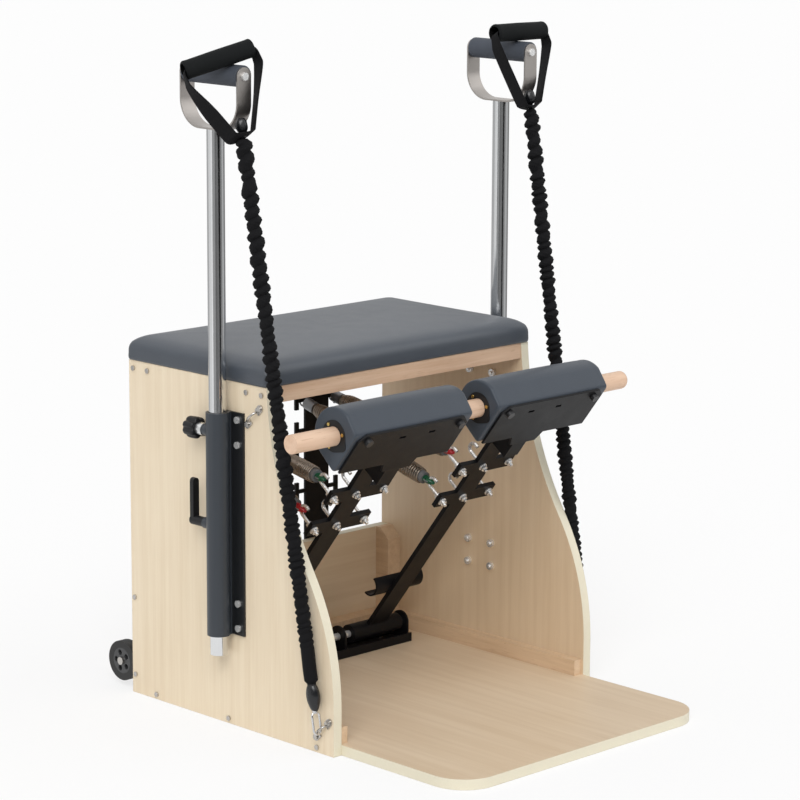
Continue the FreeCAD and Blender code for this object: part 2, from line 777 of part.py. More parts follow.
# Spring racks: an upright strip behind each arm with a column of T-shaped tabs on both edges
racks = []
rail_holes = []
for side, sign in arm_sides:
    middle = "%d * arm_offset - rack_shift" % sign
    pieces = [box(side + "_rack_strip", "rack_width", "rack_thick", "panel_height - rack_drop - rack_bottom",
                  middle + " - rack_width / 2", rear, "rack_bottom")]
    for index in range(rack_tabs):
        z = "panel_height - tab_drop - %d * tab_step" % index
        pieces.append(box(side + "_rack_neck", "rack_width + 2 * neck_length", "rack_thick",
                          "neck_height", middle + " - rack_width / 2 - neck_length", rear,
                          z + " - neck_height / 2"))
        for x in (" - rack_width / 2 - neck_length - tee_width", " + rack_width / 2 + neck_length"):
            pieces.append(box(side + "_rack_tee", "tee_width", "rack_thick", "tee_height", middle + x,
                              rear, z + " - tee_height / 2"))
    tools = []
    for step in (-1, 1):
        x = "%s + %d * rack_width / 4" % (middle, step)
        for z, holes in (("board_thick + back_height - batten_side", back_holes),
                         ("rack_bottom + batten_side", back_holes),
                         ("panel_height - rail_height / 2", rail_holes)):
            spot = (x, rear + " + rack_thick", z)
            screws.append(screw(side + "_rack_screw", "+y", spot, "short_screw_length"))
            hole = screw_hole(side + "_rack_screw_hole", "+y", spot, "short_screw_length")
            tools.append(hole)
            holes.append(hole)
    racks.append(cut(side + "_rack", join(side + "_rack_blank", *pieces), *tools))
node("spring_racks", group("rack_group", racks))
node("frame_screws", group("screw_group", screws + wheel_bolts))

# Rails, back board and battens between the panels
rail_rows = (("front", rear + " - seat_depth", []), ("rear", rear + " - rail_depth", rail_holes))
for end, y, holes in rail_rows:
    blank = box(end + "_rail_blank", inner_width, "rail_depth", "rail_height",
                "-" + inner, y, "panel_height - rail_height")
    node(end + "_seat_rail", cut(end + "_rail", blank, *(carcass_holes + holes)))
back_blank = box("back_blank", inner_width, "back_thick", "back_height",
                 "-" + inner, rear + " - back_thick", "board_thick")
node("back_board", cut("back", back_blank, *(carcass_holes + back_holes)))

batten_y = rear + " - back_thick - batten_side"
battens = [box("rear_floor_batten", inner_width + " - 2 * batten_side", "batten_side", "batten_side",
               "batten_side - " + inner, batten_y, "board_thick")]
for side, sign in arm_sides:
    post = box(side + "_corner_post", "batten_side", "batten_side", "back_height",
               low_x(sign, inner + " - batten_side", "batten_side"), batten_y, "board_thick")
    doc.recompute()
    middles = [edge.CenterOfMass for edge in post.Shape.Edges]
    front_top = min(range(len(middles)), key=lambda index: middles[index].y - middles[index].z)
    batten = doc.addObject("Part::Chamfer", side + "_corner_batten")
    batten.Base = post
    batten.Edges = [(front_top + 1, size("batten_cut"), size("batten_cut"))]
    battens.append(batten)
    floor_length = "panel_depth - floor_batten_setback - back_thick - batten_side"
    battens.append(box(side + "_floor_batten", "floor_batten_width", floor_length,
                       "floor_batten_height", low_x(sign, inner + " - floor_batten_width",
                                                    "floor_batten_width"),
                       rear + " - panel_depth + floor_batten_setback", "board_thick"))
node("battens", group("batten_group", battens))

# Seat: a board on the panels' top edges, and a crowned cushion with drawn-in sides over it
seat_blank = box("seat_board_box", "chair_width - 2 * seat_board_inset",
                 "seat_depth - 2 * seat_board_inset", "seat_board_thick",
                 "seat_board_inset - chair_width / 2", rear + " - seat_depth + seat_board_inset",
                 "panel_height")
node("seat_board", seat_blank)


def bowed_rectangle(half_x, half_y, corner, bow, z):
    # a rectangle with round corners, whose sides are drawn in by bow at their middles
    edges = []
    turns_x = (1, -1, -1, 1)
    turns_y = (1, 1, -1, -1)
    diagonal = corner * math.sqrt(0.5)
    for index in range(4):
        sx, sy = turns_x[index], turns_y[index]
        nx, ny = turns_x[(index + 1) % 4], turns_y[(index + 1) % 4]
        center = Vec(sx * (half_x - corner), sy * (half_y - corner), z)
        following = Vec(nx * (half_x - corner), ny * (half_y - corner), z)
        ends = [Vec(sx * corner, 0, 0), Vec(0, sy * corner, 0)]
        if sx != sy:
            ends.reverse()
        first, second = center + ends[0], center + ends[1]
        edges.append(Part.Arc(first, center + Vec(sx * diagonal, sy * diagonal, 0), second).toShape())
        normal = (ends[1] * (1 / corner))
        third = following + ends[1]
        middle = (second + third) * 0.5 - normal * bow
        edges.append(Part.Arc(second, middle, third).toShape())
    return Part.Wire(edges)


def cushion_shape():
    half_x = size("chair_width") / 2 + size("cushion_overhang")
    half_y = size("seat_depth") / 2 + size("cushion_overhang")
    roll = size("cushion_roll")
    under = size("cushion_under")
    bottom = size("panel_height") + size("soft_gap")
    shoulder = bottom + size("cushion_thick") - size("cushion_crown")
    rows = [(bottom + rise * under, inset * under) for rise, inset in cushion_roll_shares]
    rows.append(((bottom + shoulder) / 2, size("cushion_waist")))
    rows += [(shoulder - rise * roll, inset * roll) for rise, inset in reversed(cushion_roll_shares)]
    for inset, rise in crown_inset_shares:
        rows.append((shoulder + rise * size("cushion_crown"), roll + inset * size("seat_depth")))
    wires = []
    for z, inset in rows:
        narrow = (half_y - inset) / half_y
        wires.append(bowed_rectangle(half_x - inset, half_y - inset, size("cushion_corner") * narrow,
                                     size("cushion_waist") * narrow, z))
    pad = Part.makeLoft(wires, True, True)
    pad.translate(Vec(0, (size("board_length") - size("seat_depth")) / 2, 0))
    return pad


cushion_room = box("cushion_room", "chair_width - 2 * seat_board_inset + 2 * soft_gap",
                   "seat_depth - 2 * seat_board_inset + 2 * soft_gap",
                   "seat_board_thick + soft_gap + cut_over",
                   "seat_board_inset - chair_width / 2 - soft_gap",
                   rear + " - seat_depth + seat_board_inset - soft_gap", "panel_height - cut_over")
node("seat_cushion", cut("cushion", shaped("cushion_blank", cushion_shape()), cushion_room))

# Sliding posts with their pull knobs, clamp levers and D handles
post_top = "(%s + post_length)" % post_low
grip_z = post_top + " + grip_rise"
boss_end = sleeve_y + " + sleeve_dia / 2 + boss_length + run_gap"
pin_start = sleeve_y + " + post_dia / 2 + run_gap"
pin_length = "(sleeve_dia - post_dia) / 2 + boss_length"


def quarter(center, radius, first, second):
    # a quarter circle from one unit direction to the next
    middle = (first + second).normalize()
    return Part.Arc(center + first * radius, center + middle * radius, center + second * radius).toShape()


def d_bracket(sign):
    # a flat strip bent into a U, whose upright ends are rounded about the grip's bolts
    x = sign * (size("chair_width") / 2 + size("sleeve_standoff")) - size("strip_width") / 2
    y = size("board_length") / 2 - size("sleeve_back")
    base = post_top_level()
    pin = base + size("grip_rise")
    top = pin + size("strip_width") / 2
    bend = size("strip_bend")
    thick = size("strip_thick")
    half = size("handle_width") / 2
    left, right, down, up = Vec(0, -1, 0), Vec(0, 1, 0), Vec(0, 0, -1), Vec(0, 0, 1)
    near = Vec(x, y - half + bend, base + bend)
    far = Vec(x, y + half - bend, base + bend)
    tall = up * (top - base - bend)
    outside = [Part.makeLine(near + left * bend + tall, near + left * bend),
               quarter(near, bend, left, down),
               Part.makeLine(near + down * bend, far + down * bend),
               quarter(far, bend, down, right),
               Part.makeLine(far + right * bend, far + right * bend + tall)]
    tight = bend - thick
    inside = [Part.makeLine(far + right * bend + tall, far + right * tight + tall),
              Part.makeLine(far + right * tight + tall, far + right * tight),
              quarter(far, tight, right, down),
              Part.makeLine(far + down * tight, near + down * tight),
              quarter(near, tight, down, left),
              Part.makeLine(near + left * tight, near + left * tight + tall),
              Part.makeLine(near + left * tight + tall, near + left * bend + tall)]
    wide = size("strip_width")
    strip = Part.Face(Part.Wire(outside + inside)).extrude(Vec(wide, 0, 0))
    span = 2 * half
    room = Part.makeBox(wide, span, pin - base, Vec(x, y - half, base))
    room = room.fuse(Part.makeCylinder(wide / 2, span, Vec(x + wide / 2, y - half, pin), right))
    strip = strip.common(room)
    hole = size("grip_bolt_dia") / 2 + size("seat_gap")
    return strip.cut(Part.makeCylinder(hole, span, Vec(x + wide / 2, y - half, pin), right))


for side, sign in arm_sides:
    x = on_side(sign, sleeve_x)
    tube = rod(side + "_post_blank", "+z", "post_dia", "post_length", x, sleeve_y, post_low)
    tools = [rod(side + "_post_bore", "+z", "post_dia - 2 * post_wall", "post_length + 2 * cut_over",
                 x, sleeve_y, post_low + " - cut_over")]
    for index in range(-pin_holes_below, pin_holes_above):
        tools.append(rod(side + "_post_hole", "+y", "pin_dia + 2 * run_gap", "post_dia / 2 + cut_over",
                         x, sleeve_y, pin_level + " + %d * pin_step" % index))
    node(side + "_post_tube", cut(side + "_post", tube, *tools))
    pin = rod(side + "_pull_pin", "+y", "pin_dia", pin_length, x, pin_start, pin_level)
    neck = rod(side + "_knob_neck", "+y", "knob_neck_dia", "knob_neck_length", x, boss_end, pin_level)
    knob = round_rod(side + "_knob_head", "+y", "knob_dia", "knob_length", "knob_round", x,
                     boss_end + " + knob_neck_length", pin_level)
    node(side + "_pull_knob", join(side + "_knob", pin, neck, knob))
    stud = rod(side + "_lever_stud", "+y", "pin_dia", pin_length, x, pin_start, lever_level)
    hub = rod(side + "_lever_hub", "+y", "lever_hub_dia", "lever_hub_length", x, boss_end, lever_level)
    blade_y = boss_end + " + lever_hub_length - lever_thick"
    blade = box(side + "_lever_blade", "lever_width", "lever_thick", "lever_length",
                x + " - lever_width / 2", blade_y, lever_level)
    tip = rod(side + "_lever_tip", "+y", "lever_width", "lever_thick", x, blade_y,
              lever_level + " + lever_length")
    node(side + "_clamp_lever", join(side + "_lever", stud, hub, blade, tip))
    node(side + "_d_bracket", shaped(side + "_bent_strip", d_bracket(sign)))
    grip_length = "(handle_width - 2 * strip_thick - 2 * seat_gap)"
    grip = round_rod(side + "_grip_blank", "+y", "grip_dia", grip_length, "grip_round", x,
                     sleeve_y + " - %s / 2" % grip_length, grip_z)
    tools = []
    grip_bolts = []
    for out, step in (("-y", -1), ("+y", 1)):
        seat = "%s + %d * handle_width / 2" % (sleeve_y, step)
        head = rod(side + "_grip_bolt_head", out, "grip_bolt_head", "bolt_head_height", x, seat, grip_z)
        shank = rod(side + "_grip_bolt_shank", opposite[out], "grip_bolt_dia", "grip_bolt_length",
                    x, seat, grip_z)
        grip_bolts.append(join(side + "_grip_bolt", head, shank))
        tools.append(rod(side + "_grip_bolt_hole", opposite[out], "grip_bolt_dia + 2 * seat_gap",
                         "grip_bolt_length + cut_over", x, seat, grip_z))
    node(side + "_d_grip", cut(side + "_grip", grip, *tools))
    node(side + "_grip_screws", group(side + "_grip_bolts", grip_bolts))


# Strap handles: a foam grip resting on the D handle, webbing down from its ends to the cord
def strap_frame(side, sign):
    # the middle of the grip, the directions along, down and across the webbing, and its foot
    post = Vec(sign * (size("chair_width") / 2 + size("sleeve_standoff")),
               size("board_length") / 2 - size("sleeve_back"),
               post_top_level())
    yaw = math.radians(size(side + "_grip_yaw"))
    tilt = math.radians(size(side + "_grip_tilt"))
    along = Vec(math.cos(yaw) * math.cos(tilt), math.sin(yaw) * math.cos(tilt), math.sin(tilt))
    shift = size(side + "_grip_shift")
    apart = (size("grip_dia") + size("strap_grip_dia")) / 2 + size("soft_gap")
    lift = (apart * math.hypot(along.x, along.z) + shift * along.z) / along.x
    middle = post + Vec(shift, -size("strap_forward"), size("grip_rise") + lift)
    foot = post + Vec(size(side + "_drop_shift"), -size("strap_drop_forward"), -size("strap_drop"))
    fall = foot - middle
    offset = fall.dot(along)
    down = fall - along * offset
    depth = down.Length
    down.normalize()
    return middle, along, down, offset, depth, foot


def strap_band(offset, depth):
    # webbing seen along its width: down from both ends of the grip to a flat foot, in five runs
    thick = size("strap_thick")
    wide = size("strap_width")
    reach = size("strap_grip_length") / 2 + size("soft_gap") + thick / 2
    top = -size("strap_core") / 2 - thick
    knee = size("strap_grip_dia") / 2 + thick
    half = size("strap_bottom") / 2
    route = [Vec(-reach, top, 0), Vec(-reach, knee, 0), Vec(offset - half, depth, 0),
             Vec(offset + half, depth, 0), Vec(reach, knee, 0), Vec(reach, top, 0)]
    runs = [(end - start).normalize() for start, end in zip(route, route[1:])]
    sides = [Vec(-run.y, run.x, 0) for run in runs]
    miters = [sides[0]]
    for first, second in zip(sides, sides[1:]):
        miters.append((first + second) * (1 / (1 + first.dot(second))))
    miters.append(sides[-1])
    edge = [point + miter * (thick / 2) for point, miter in zip(route, miters)]
    other = [point - miter * (thick / 2) for point, miter in zip(route, miters)]
    outline = [corner - Vec(0, 0, wide / 2) for corner in edge + other[::-1]]
    band = Part.Face(Part.makePolygon(outline + outline[:1])).extrude(Vec(0, 0, wide))
    core = Part.makeCylinder(size("strap_core") / 2, 2 * reach, Vec(-reach, 0, 0), Vec(1, 0, 0))
    neck = size("cord_neck") / 2 + size("neck_gap")
    hole = Part.makeCylinder(neck, 2 * knee, Vec(offset, depth - knee, 0), Vec(0, 1, 0))
    return band.fuse(core).cut(hole).removeSplitter()


def snap_ring(start, end, aside):
    # a closed oval of wire: two straight sides and two half circles
    bend = size("hook_bend")
    along = (end - start).normalize()
    across = aside * bend
    edges = [Part.makeLine(start + across, end + across),
             Part.Arc(end + across, end + along * bend, end - across).toShape(),
             Part.makeLine(end - across, start - across),
             Part.Arc(start - across, start - along * bend, start + across).toShape()]
    section = Part.Wire(Part.makeCircle(size("hook_wire") / 2, start + across, along))
    return Part.Wire(edges).makePipeShell([section], True, False)


hook_pieces = []
for side, sign in arm_sides:
    middle, along, down, offset, depth, foot = strap_frame(side, sign)
    frame = FreeCAD.Placement(middle, Turn(along, down, along.cross(down), "ZXY"))
    node(side + "_strap", shaped(side + "_webbing", strap_band(offset, depth), frame))
    half = size("strap_grip_length") / 2
    foam = Part.makeCylinder(size("strap_grip_dia") / 2, 2 * half, Vec(-half, 0, 0), Vec(1, 0, 0))
    foam = foam.makeFillet(size("grip_round"), [foam.Edges[0], foam.Edges[2]])
    bore = Part.makeCylinder(size("strap_grip_bore") / 2, 2 * half, Vec(-half, 0, 0), Vec(1, 0, 0))
    node(side + "_strap_grip", shaped(side + "_foam", foam.cut(bore), frame))
    # the taut cord runs from the lower pad eye straight to the foot of the strap
    eye_y, eye_z = eye_spots["lower"]
    eye = Vec(sign * (size("chair_width") / 2 + size("eye_bend")), eye_y, eye_z)
    pull = (foot - eye).normalize()
    aside = (Vec(1, 0, 0) - pull * pull.x).normalize()
    lean_angle = math.radians(size("eye_lean"))
    lifting = pull.dot(Vec(0, math.sin(lean_angle), math.cos(lean_angle)))
    seat = ((size("hook_wire") + size("eye_wire")) / 2 + size("soft_gap")) / lifting
    low = eye + pull * (size("hook_bend") - seat)
    high = low + pull * size("hook_straight")
    swivel = high + pull * (size("hook_bend") - size("hook_wire") / 2)
    hook = snap_ring(low, high, aside)
    hook = hook.fuse(Part.makeCylinder(size("swivel_dia") / 2, size("swivel_length"), swivel, pull))
    hook_pieces.append(shaped(side + "_snap_hook", hook))
    sleeve = swivel + pull * size("swivel_length")
    hook_pieces.append(shaped(side + "_end_sleeve", Part.makeCylinder(
        size("end_sleeve_dia") / 2, size("end_sleeve_length"), sleeve, pull)))
    start = sleeve + pull * size("end_sleeve_length")
    clear = size("strap_thick") / 2 + size("cord_slack")
    end = foot - pull * clear
    cord = Part.makeCylinder(size("cord_dia") / 2, (end - start).Length, start, pull)
    neck = Part.makeCylinder(size("cord_neck") / 2, 2 * clear, end, pull)
    stopper = Part.makeCylinder(size("stopper_dia") / 2, size("stopper_length"), foot + pull * clear, pull)
    node(side + "_cord", shaped(side + "_elastic", cord.fuse([neck, stopper]).removeSplitter()))
    print("%s cord %.1f mm, straight" % (side, (foot - start).Length))
node("cord_snap_hooks", group("hook_group", hook_pieces))


# Pedals: modelled lying flat, x across, y up along the arm, z out of its front face, then leaned
def lean(piece):
    piece.Placement = FreeCAD.Placement(Vec(), Turn(Vec(1, 0, 0), 180))
    place(piece, "0", pivot_y, "pivot_height")
    piece.setExpression("Placement.Rotation.Angle", formula("180 - arm_rise"))
    return piece


def leaned_point(x, up, out):
    rise = math.radians(size("arm_rise"))
    back = size("board_length") / 2 - size("pivot_back")
    return Vec(x, back - math.cos(rise) * up - math.sin(rise) * out,
               size("pivot_height") + math.sin(rise) * up - math.cos(rise) * out)


arm_end = "(dowel_reach - pad_radius - pad_flare - pad_swell - soft_gap)"
arm_room = "((pivot_width - pivot_middle) / 2 - pivot_plate_thick)"
tube_near = "(pivot_middle / 2 + tube_inner_gap)"
tube_long = "(%s - tube_inner_gap - tube_outer_gap)" % arm_room
plate_seat = "(pad_foot + dowel_ahead)"
wings = ("lower_wing", "upper_wing")
hook_shifts = (" - hook_left", "", " + hook_right")


def hook_bolt(x, up):
    # a bolt through the bar, its end bent into a hook, with a washer and nut on each face
    seat = size("arm_thick") / 2
    radius = size("hook_radius")
    turn = -seat - size("hook_reach")
    nut_end = seat + size("hook_washer_height") + size("hook_nut_height")
    top = Vec(x, up, nut_end + size("hook_tail"))
    curl = [Vec(x, up, turn), Vec(x, up + radius, turn - radius), Vec(x, up + 2 * radius, turn)]
    tip = curl[2] + Vec(0, 0, size("hook_tip"))
    path = Part.Wire([Part.makeLine(top, curl[0]), Part.Arc(*curl).toShape(), Part.makeLine(curl[2], tip)])
    section = Part.Wire(Part.makeCircle(size("hook_dia") / 2, top, Vec(0, 0, 1)))
    pieces = [path.makePipeShell([section], True, False)]
    for out in (-1, 1):
        face = Vec(x, up, out * seat)
        facing = Vec(0, 0, out)
        nut = Part.makeCylinder(size("hook_washer") / 2, size("hook_washer_height"), face, facing)
        start = face + facing * size("hook_washer_height")
        nut = nut.fuse(Part.makeCylinder(size("hook_nut") / 2, size("hook_nut_height"), start, facing))
        bore = size("hook_dia") / 2 + size("seat_gap")
        pieces.append(nut.cut(Part.makeCylinder(bore, 2 * nut_end, face - facing * seat, facing)))
    return pieces


def pad_section(x, inset):
    # half-round on top of two slanted sides, flat against the foot plate
    middle = size("dowel_reach")
    level = size("dowel_ahead")
    radius = size("pad_radius") - inset
    flat = size("pad_foot") + size("dowel_ahead") - size("soft_gap")
    center = Vec(x, middle, level)
    low, high, out = Vec(0, -1, 0), Vec(0, 1, 0), Vec(0, 0, -1)
    feet = [Vec(x, middle - radius - size("pad_flare"), flat),
            Vec(x, middle + radius - size("pad_draft"), flat)]
    return Part.Wire([Part.makeLine(feet[0], center + low * radius), quarter(center, radius, low, out),
                      quarter(center, radius, out, high), Part.makeLine(center + high * radius, feet[1]),
                      Part.makeLine(feet[1], feet[0])])


def pad_shape(start):
    length = size("pedal_length")
    edge = size("pad_edge")
    rows = [(share, inset * edge) for share, inset in pad_edge_shares]
    rows.append((0.5, -size("pad_swell")))
    rows += [(1 - share, inset * edge) for share, inset in reversed(pad_edge_shares)]
    return Part.makeLoft([pad_section(start + share * length, inset) for share, inset in rows], True, True)


def teardrop(x, thick, grow):
    # a plate round about the dowel that narrows to a small round toe near the foot plate
    wide = size("flange_round") + grow
    toe = size("flange_toe") + grow
    drop = size("flange_toe_drop")
    center = Vec(x, size("dowel_reach"), size("dowel_ahead"))
    foot = center + Vec(0, 0, drop)
    along = Vec(1, 0, 0)
    slope = (wide - toe) / drop
    flat = math.sqrt(1 - slope ** 2)
    sides = [Vec(0, flat, slope), Vec(0, -flat, slope)]
    points = [center + sides[0] * wide, foot + sides[0] * toe, foot + sides[1] * toe,
              center + sides[1] * wide]
    plate = Part.Face(Part.makePolygon(points + points[:1])).extrude(along * thick)
    plate = plate.fuse([Part.makeCylinder(wide, thick, center, along),
                        Part.makeCylinder(toe, thick, foot, along)])
    return plate.removeSplitter()


def eyelet_places():
    ring = size("eyelet_ring")
    center = Vec(0, size("dowel_reach"), size("dowel_ahead"))
    angles = [math.radians(angle) for angle in eyelet_angles]
    return [center + Vec(0, ring * math.cos(angle), ring * math.sin(angle)) for angle in angles]


def plate_ends():
    # distances of the foot plate's two ends from the chair's middle
    near = size("pedal_gap") / 2 + size("plate_inset")
    return near, near + size("pedal_length") - 2 * size("plate_inset")


def plate_edges():
    # heights of the foot plate's lower and upper edges along the leaned arm
    low = size("dowel_reach") - size("pad_radius") - size("pad_flare")
    return low, size("dowel_reach") + size("pad_radius") - size("pad_draft")


def foot_plate(sign):
    # a chamfered plate with a tab over the arm
    near, far = plate_ends()
    start, end = (near, far) if sign > 0 else (-far, -near)
    low, high = plate_edges()
    cut_corner = size("plate_chamfer")
    middle = sign * size("arm_offset")
    half = size("tab_width") / 2
    tip = half - size("tab_chamfer")
    tab = low - size("tab_reach")
    face = size("pad_foot") + size("dowel_ahead")
    outline = [(start, low), (start, high - cut_corner), (start + cut_corner, high),
               (end - cut_corner, high), (end, high - cut_corner), (end, low), (middle + half, low),
               (middle + tip, tab), (middle - tip, tab), (middle - half, low)]
    points = [Vec(x, up, face) for x, up in outline]
    plate = Part.Face(Part.makePolygon(points + points[:1])).extrude(Vec(0, 0, size("plate_thick")))
    slot = (size("slot_length"), size("slot_width"))
    for share in slot_shares:
        x = sign * (near + share * (far - near)) - slot[0] / 2
        up = low + slot_row_share * (high - low)
        plate = plate.cut(Part.makeBox(slot[0], slot[1], size("plate_thick"), Vec(x, up, face)))
    return plate


def pedal_knobs(sign):
    # places of the two knobs that hold the pad to its plate
    near, far = plate_ends()
    face = size("pad_foot") + size("dowel_ahead") + size("plate_thick")
    low, high = plate_edges()
    up = low + knob_row_share * (high - low)
    return [Vec(sign * (near + share * (far - near)), up, face) for share in knob_shares]


def pinned(place_at, out, head, head_height, pin, length):
    # a headed pin: the head stands on a face and the pin goes in behind it
    knob = Part.makeCylinder(head / 2, head_height, place_at, out)
    return knob.fuse(Part.makeCylinder(pin / 2, length, place_at, out * -1))


for side, sign in arm_sides:
    arm_x = on_side(sign, "arm_offset")
    bar = box(side + "_arm_bar", "arm_width", arm_end, "arm_thick", arm_x + " - arm_width / 2", "0",
              "-arm_thick / 2")
    tube_x = low_x(sign, tube_near, tube_long)
    pivot = rod(side + "_pivot_tube", "+x", "pivot_tube_dia", tube_long, tube_x, "0", "0")
    foot = box(side + "_arm_foot", "foot_width", "foot_length", plate_seat + " - arm_thick / 2",
               arm_x + " - foot_width / 2", arm_end + " - foot_length", "arm_thick / 2")
    trough_x = arm_x + " - trough_length / 2"
    trough_z = "trough_wall - (arm_thick + trough_dia) / 2"
    trough = rod(side + "_trough_blank", "+x", "trough_dia", "trough_length", trough_x, "trough_reach",
                 trough_z)
    trough_tools = [rod(side + "_trough_bore", "+x", "trough_dia - 2 * trough_wall", "trough_length",
                        trough_x, "trough_reach", trough_z),
                    box(side + "_trough_mouth", "trough_length", "trough_dia", "trough_dia", trough_x,
                        "trough_reach - trough_dia / 2", trough_z + " - trough_dia")]
    pieces = [bar, pivot, foot, cut(side + "_trough", trough, *trough_tools)]
    tools = [rod(side + "_pivot_tube_bore", "+x", "axle_dia + 2 * axle_gap", arm_room,
                 low_x(sign, "pivot_middle / 2", arm_room), "0", "0")]
    hooks = []
    for wing in wings:
        pieces.append(box("%s_%s_plate" % (side, wing), "hook_left + hook_right + 2 * wing_margin",
                          "wing_depth", "arm_thick", arm_x + " - hook_left - wing_margin",
                          wing + " - wing_depth / 2", "-arm_thick / 2"))
        for shift in hook_shifts:
            tools.append(rod(side + "_hook_hole", "+z", "hook_dia + 2 * seat_gap", "2 * arm_thick",
                             arm_x + shift, wing, "-arm_thick"))
        for shift in (-size("hook_left"), 0, size("hook_right")):
            hooks += hook_bolt(sign * size("arm_offset") + shift, size(wing))
    arm = cut(side + "_arm", join(side + "_arm_blank", *pieces), *tools)
    node(side + "_pedal_arm", lean(arm))
    node(side + "_hook_bolts", lean(shaped(side + "_hooks", Part.makeCompound(hooks))))

    # foot plate, pad, end flanges and the pins that hold them
    near = size("pedal_gap") / 2
    start = near if sign > 0 else -near - size("pedal_length")
    ends = ((start, 1), (start + size("pedal_length"), -1))
    plate = foot_plate(sign)
    pad = pad_shape(start)
    bore = size("dowel_dia") / 2 + size("dowel_gap")
    dowel_start = Vec(start, size("dowel_reach"), size("dowel_ahead"))
    along = Vec(1, 0, 0)
    pad = pad.cut(Part.makeCylinder(bore + size("dowel_gap"), size("pedal_length"), dowel_start, along))
    dowel_hole = Part.makeCylinder(bore, size("pedal_length"), dowel_start, along)
    pins = []
    pin_room = size("seat_gap")
    for spot in pedal_knobs(sign):
        out = Vec(0, 0, 1)
        pins.append(pinned(spot, out, size("pedal_knob"), size("pedal_knob_height"), size("pedal_pin"),
                           size("pedal_pin_length")))
        room = pinned(spot, out, size("pedal_pin"), size("cut_over"),
                      size("pedal_pin") + 2 * pin_room, size("pedal_pin_length") + size("soft_gap"))
        plate = plate.cut(room)
        pad = pad.cut(room)
    flanges = []
    for x, inward in ends:
        thick = size("flange_plate")
        low = min(x, x + inward * thick)
        room_thick = thick + size("soft_gap")
        pad = pad.cut(teardrop(min(x, x + inward * room_thick), room_thick, size("soft_gap")))
        flange = teardrop(low, thick, 0).cut(dowel_hole)
        for spot in eyelet_places():
            spot = spot + Vec(x, 0, 0)
            out = Vec(-inward, 0, 0)
            pins.append(pinned(spot, out, size("eyelet_dia"), size("eyelet_height"), size("eyelet_pin"),
                               size("eyelet_pin_length")))
            room = pinned(spot, out, size("eyelet_pin"), size("cut_over"), size("eyelet_pin") + 2 * pin_room,
                          size("eyelet_pin_length") + size("soft_gap"))
            flange = flange.cut(room)
            pad = pad.cut(room)
        flanges.append(flange)
    node(side + "_pedal_plate", lean(shaped(side + "_foot_plate", plate)))
    node(side + "_pedal_pad", lean(shaped(side + "_half_round_pad", pad)))
    node(side + "_pedal_flanges", lean(shaped(side + "_end_flanges", Part.makeCompound(flanges))))
    node(side + "_pedal_screws", lean(shaped(side + "_pedal_pins", Part.makeCompound(pins))))

dowel = round_rod("dowel_rod", "+x", "dowel_dia", "dowel_length", "dowel_round",
                  "-dowel_length / 2", "dowel_reach", "dowel_ahead")
node("dowel", lean(group("dowel_group", [dowel])))


# Springs: wound wire between an end fitting on a hook bolt and one on a rack's tab
def biarc(first, heading, last, leaving):
    # two tangent arcs from one point and direction to the next
    gap = last - first
    both = heading + leaving
    spread = 2 * (1 - heading.dot(leaving))
    reach = gap.dot(both)
    step = (math.sqrt(reach ** 2 + spread * gap.dot(gap)) - reach) / spread
    joint = (first + last + (heading - leaving) * step) * 0.5
    arcs = []
    for start, direction, end in ((first, heading, joint), (last, leaving * -1, joint)):
        chord = end - start
        half = chord * 0.5
        along = chord.dot(direction)
        bend = direction * chord.Length - chord * (along / chord.Length)
        rise = (chord.Length - along) / 2
        top = start + half + bend.normalize() * (rise / math.sqrt(1 - (along / chord.Length) ** 2))
        arcs.append((start, top, end))
    return [Part.Arc(*arcs[0]).toShape(), Part.Arc(arcs[1][2], arcs[1][1], arcs[1][0]).toShape()]


def coil(start, end):
    # straight at both ends, then even turns whose first and last few widen from a small collar
    wire = size("spring_wire")
    wide = (size("spring_dia") - wire) / 2
    narrow = (size("spring_end_dia") - wire) / 2
    axis = end - start
    length = axis.Length
    axis.normalize()
    aside = axis.cross(Vec(1, 0, 0)).normalize()
    across = axis.cross(aside)
    quarters = 4 * spring_curls
    taper = 4 * taper_curls
    pitch = (length - 2 * wire - 2 * narrow) / quarters

    def spot(index):
        turn = math.pi / 2 * index
        radius = narrow + (wide - narrow) * min(1, index / taper, (quarters - index) / taper)
        lift = wire + narrow + pitch * index
        lift = wire if index == 0 else lift
        lift = length - wire if index == quarters else lift
        return start + axis * lift + (aside * math.cos(turn) + across * math.sin(turn)) * radius

    def heading(index):
        if index in (0, quarters):
            return Vec(axis)
        turn = math.pi / 2 * index
        radius = (spot(index) - start - axis * (spot(index) - start).dot(axis)).Length
        round_about = (across * math.cos(turn) - aside * math.sin(turn)) * (radius * math.pi / 2)
        return (round_about + axis * pitch).normalize()

    edges = [Part.makeLine(spot(0) - axis * wire, spot(0))]
    for index in range(quarters):
        edges += biarc(spot(index), heading(index), spot(index + 1), heading(index + 1))
    edges.append(Part.makeLine(spot(quarters), spot(quarters) + axis * wire))
    section = Part.Wire(Part.makeCircle(wire / 2, spot(0) - axis * wire, axis))
    tube = Part.Wire(edges).makePipeShell([section], True, False)
    points = [point for edge in edges for point in edge.discretize(4)[:-1]]
    turn_points = len(points) // spring_curls // 2
    least = min((points[first] - points[second]).Length
                for first in range(len(points))
                for second in range(first + turn_points, min(first + 4 * turn_points, len(points))))
    return tube, least - wire


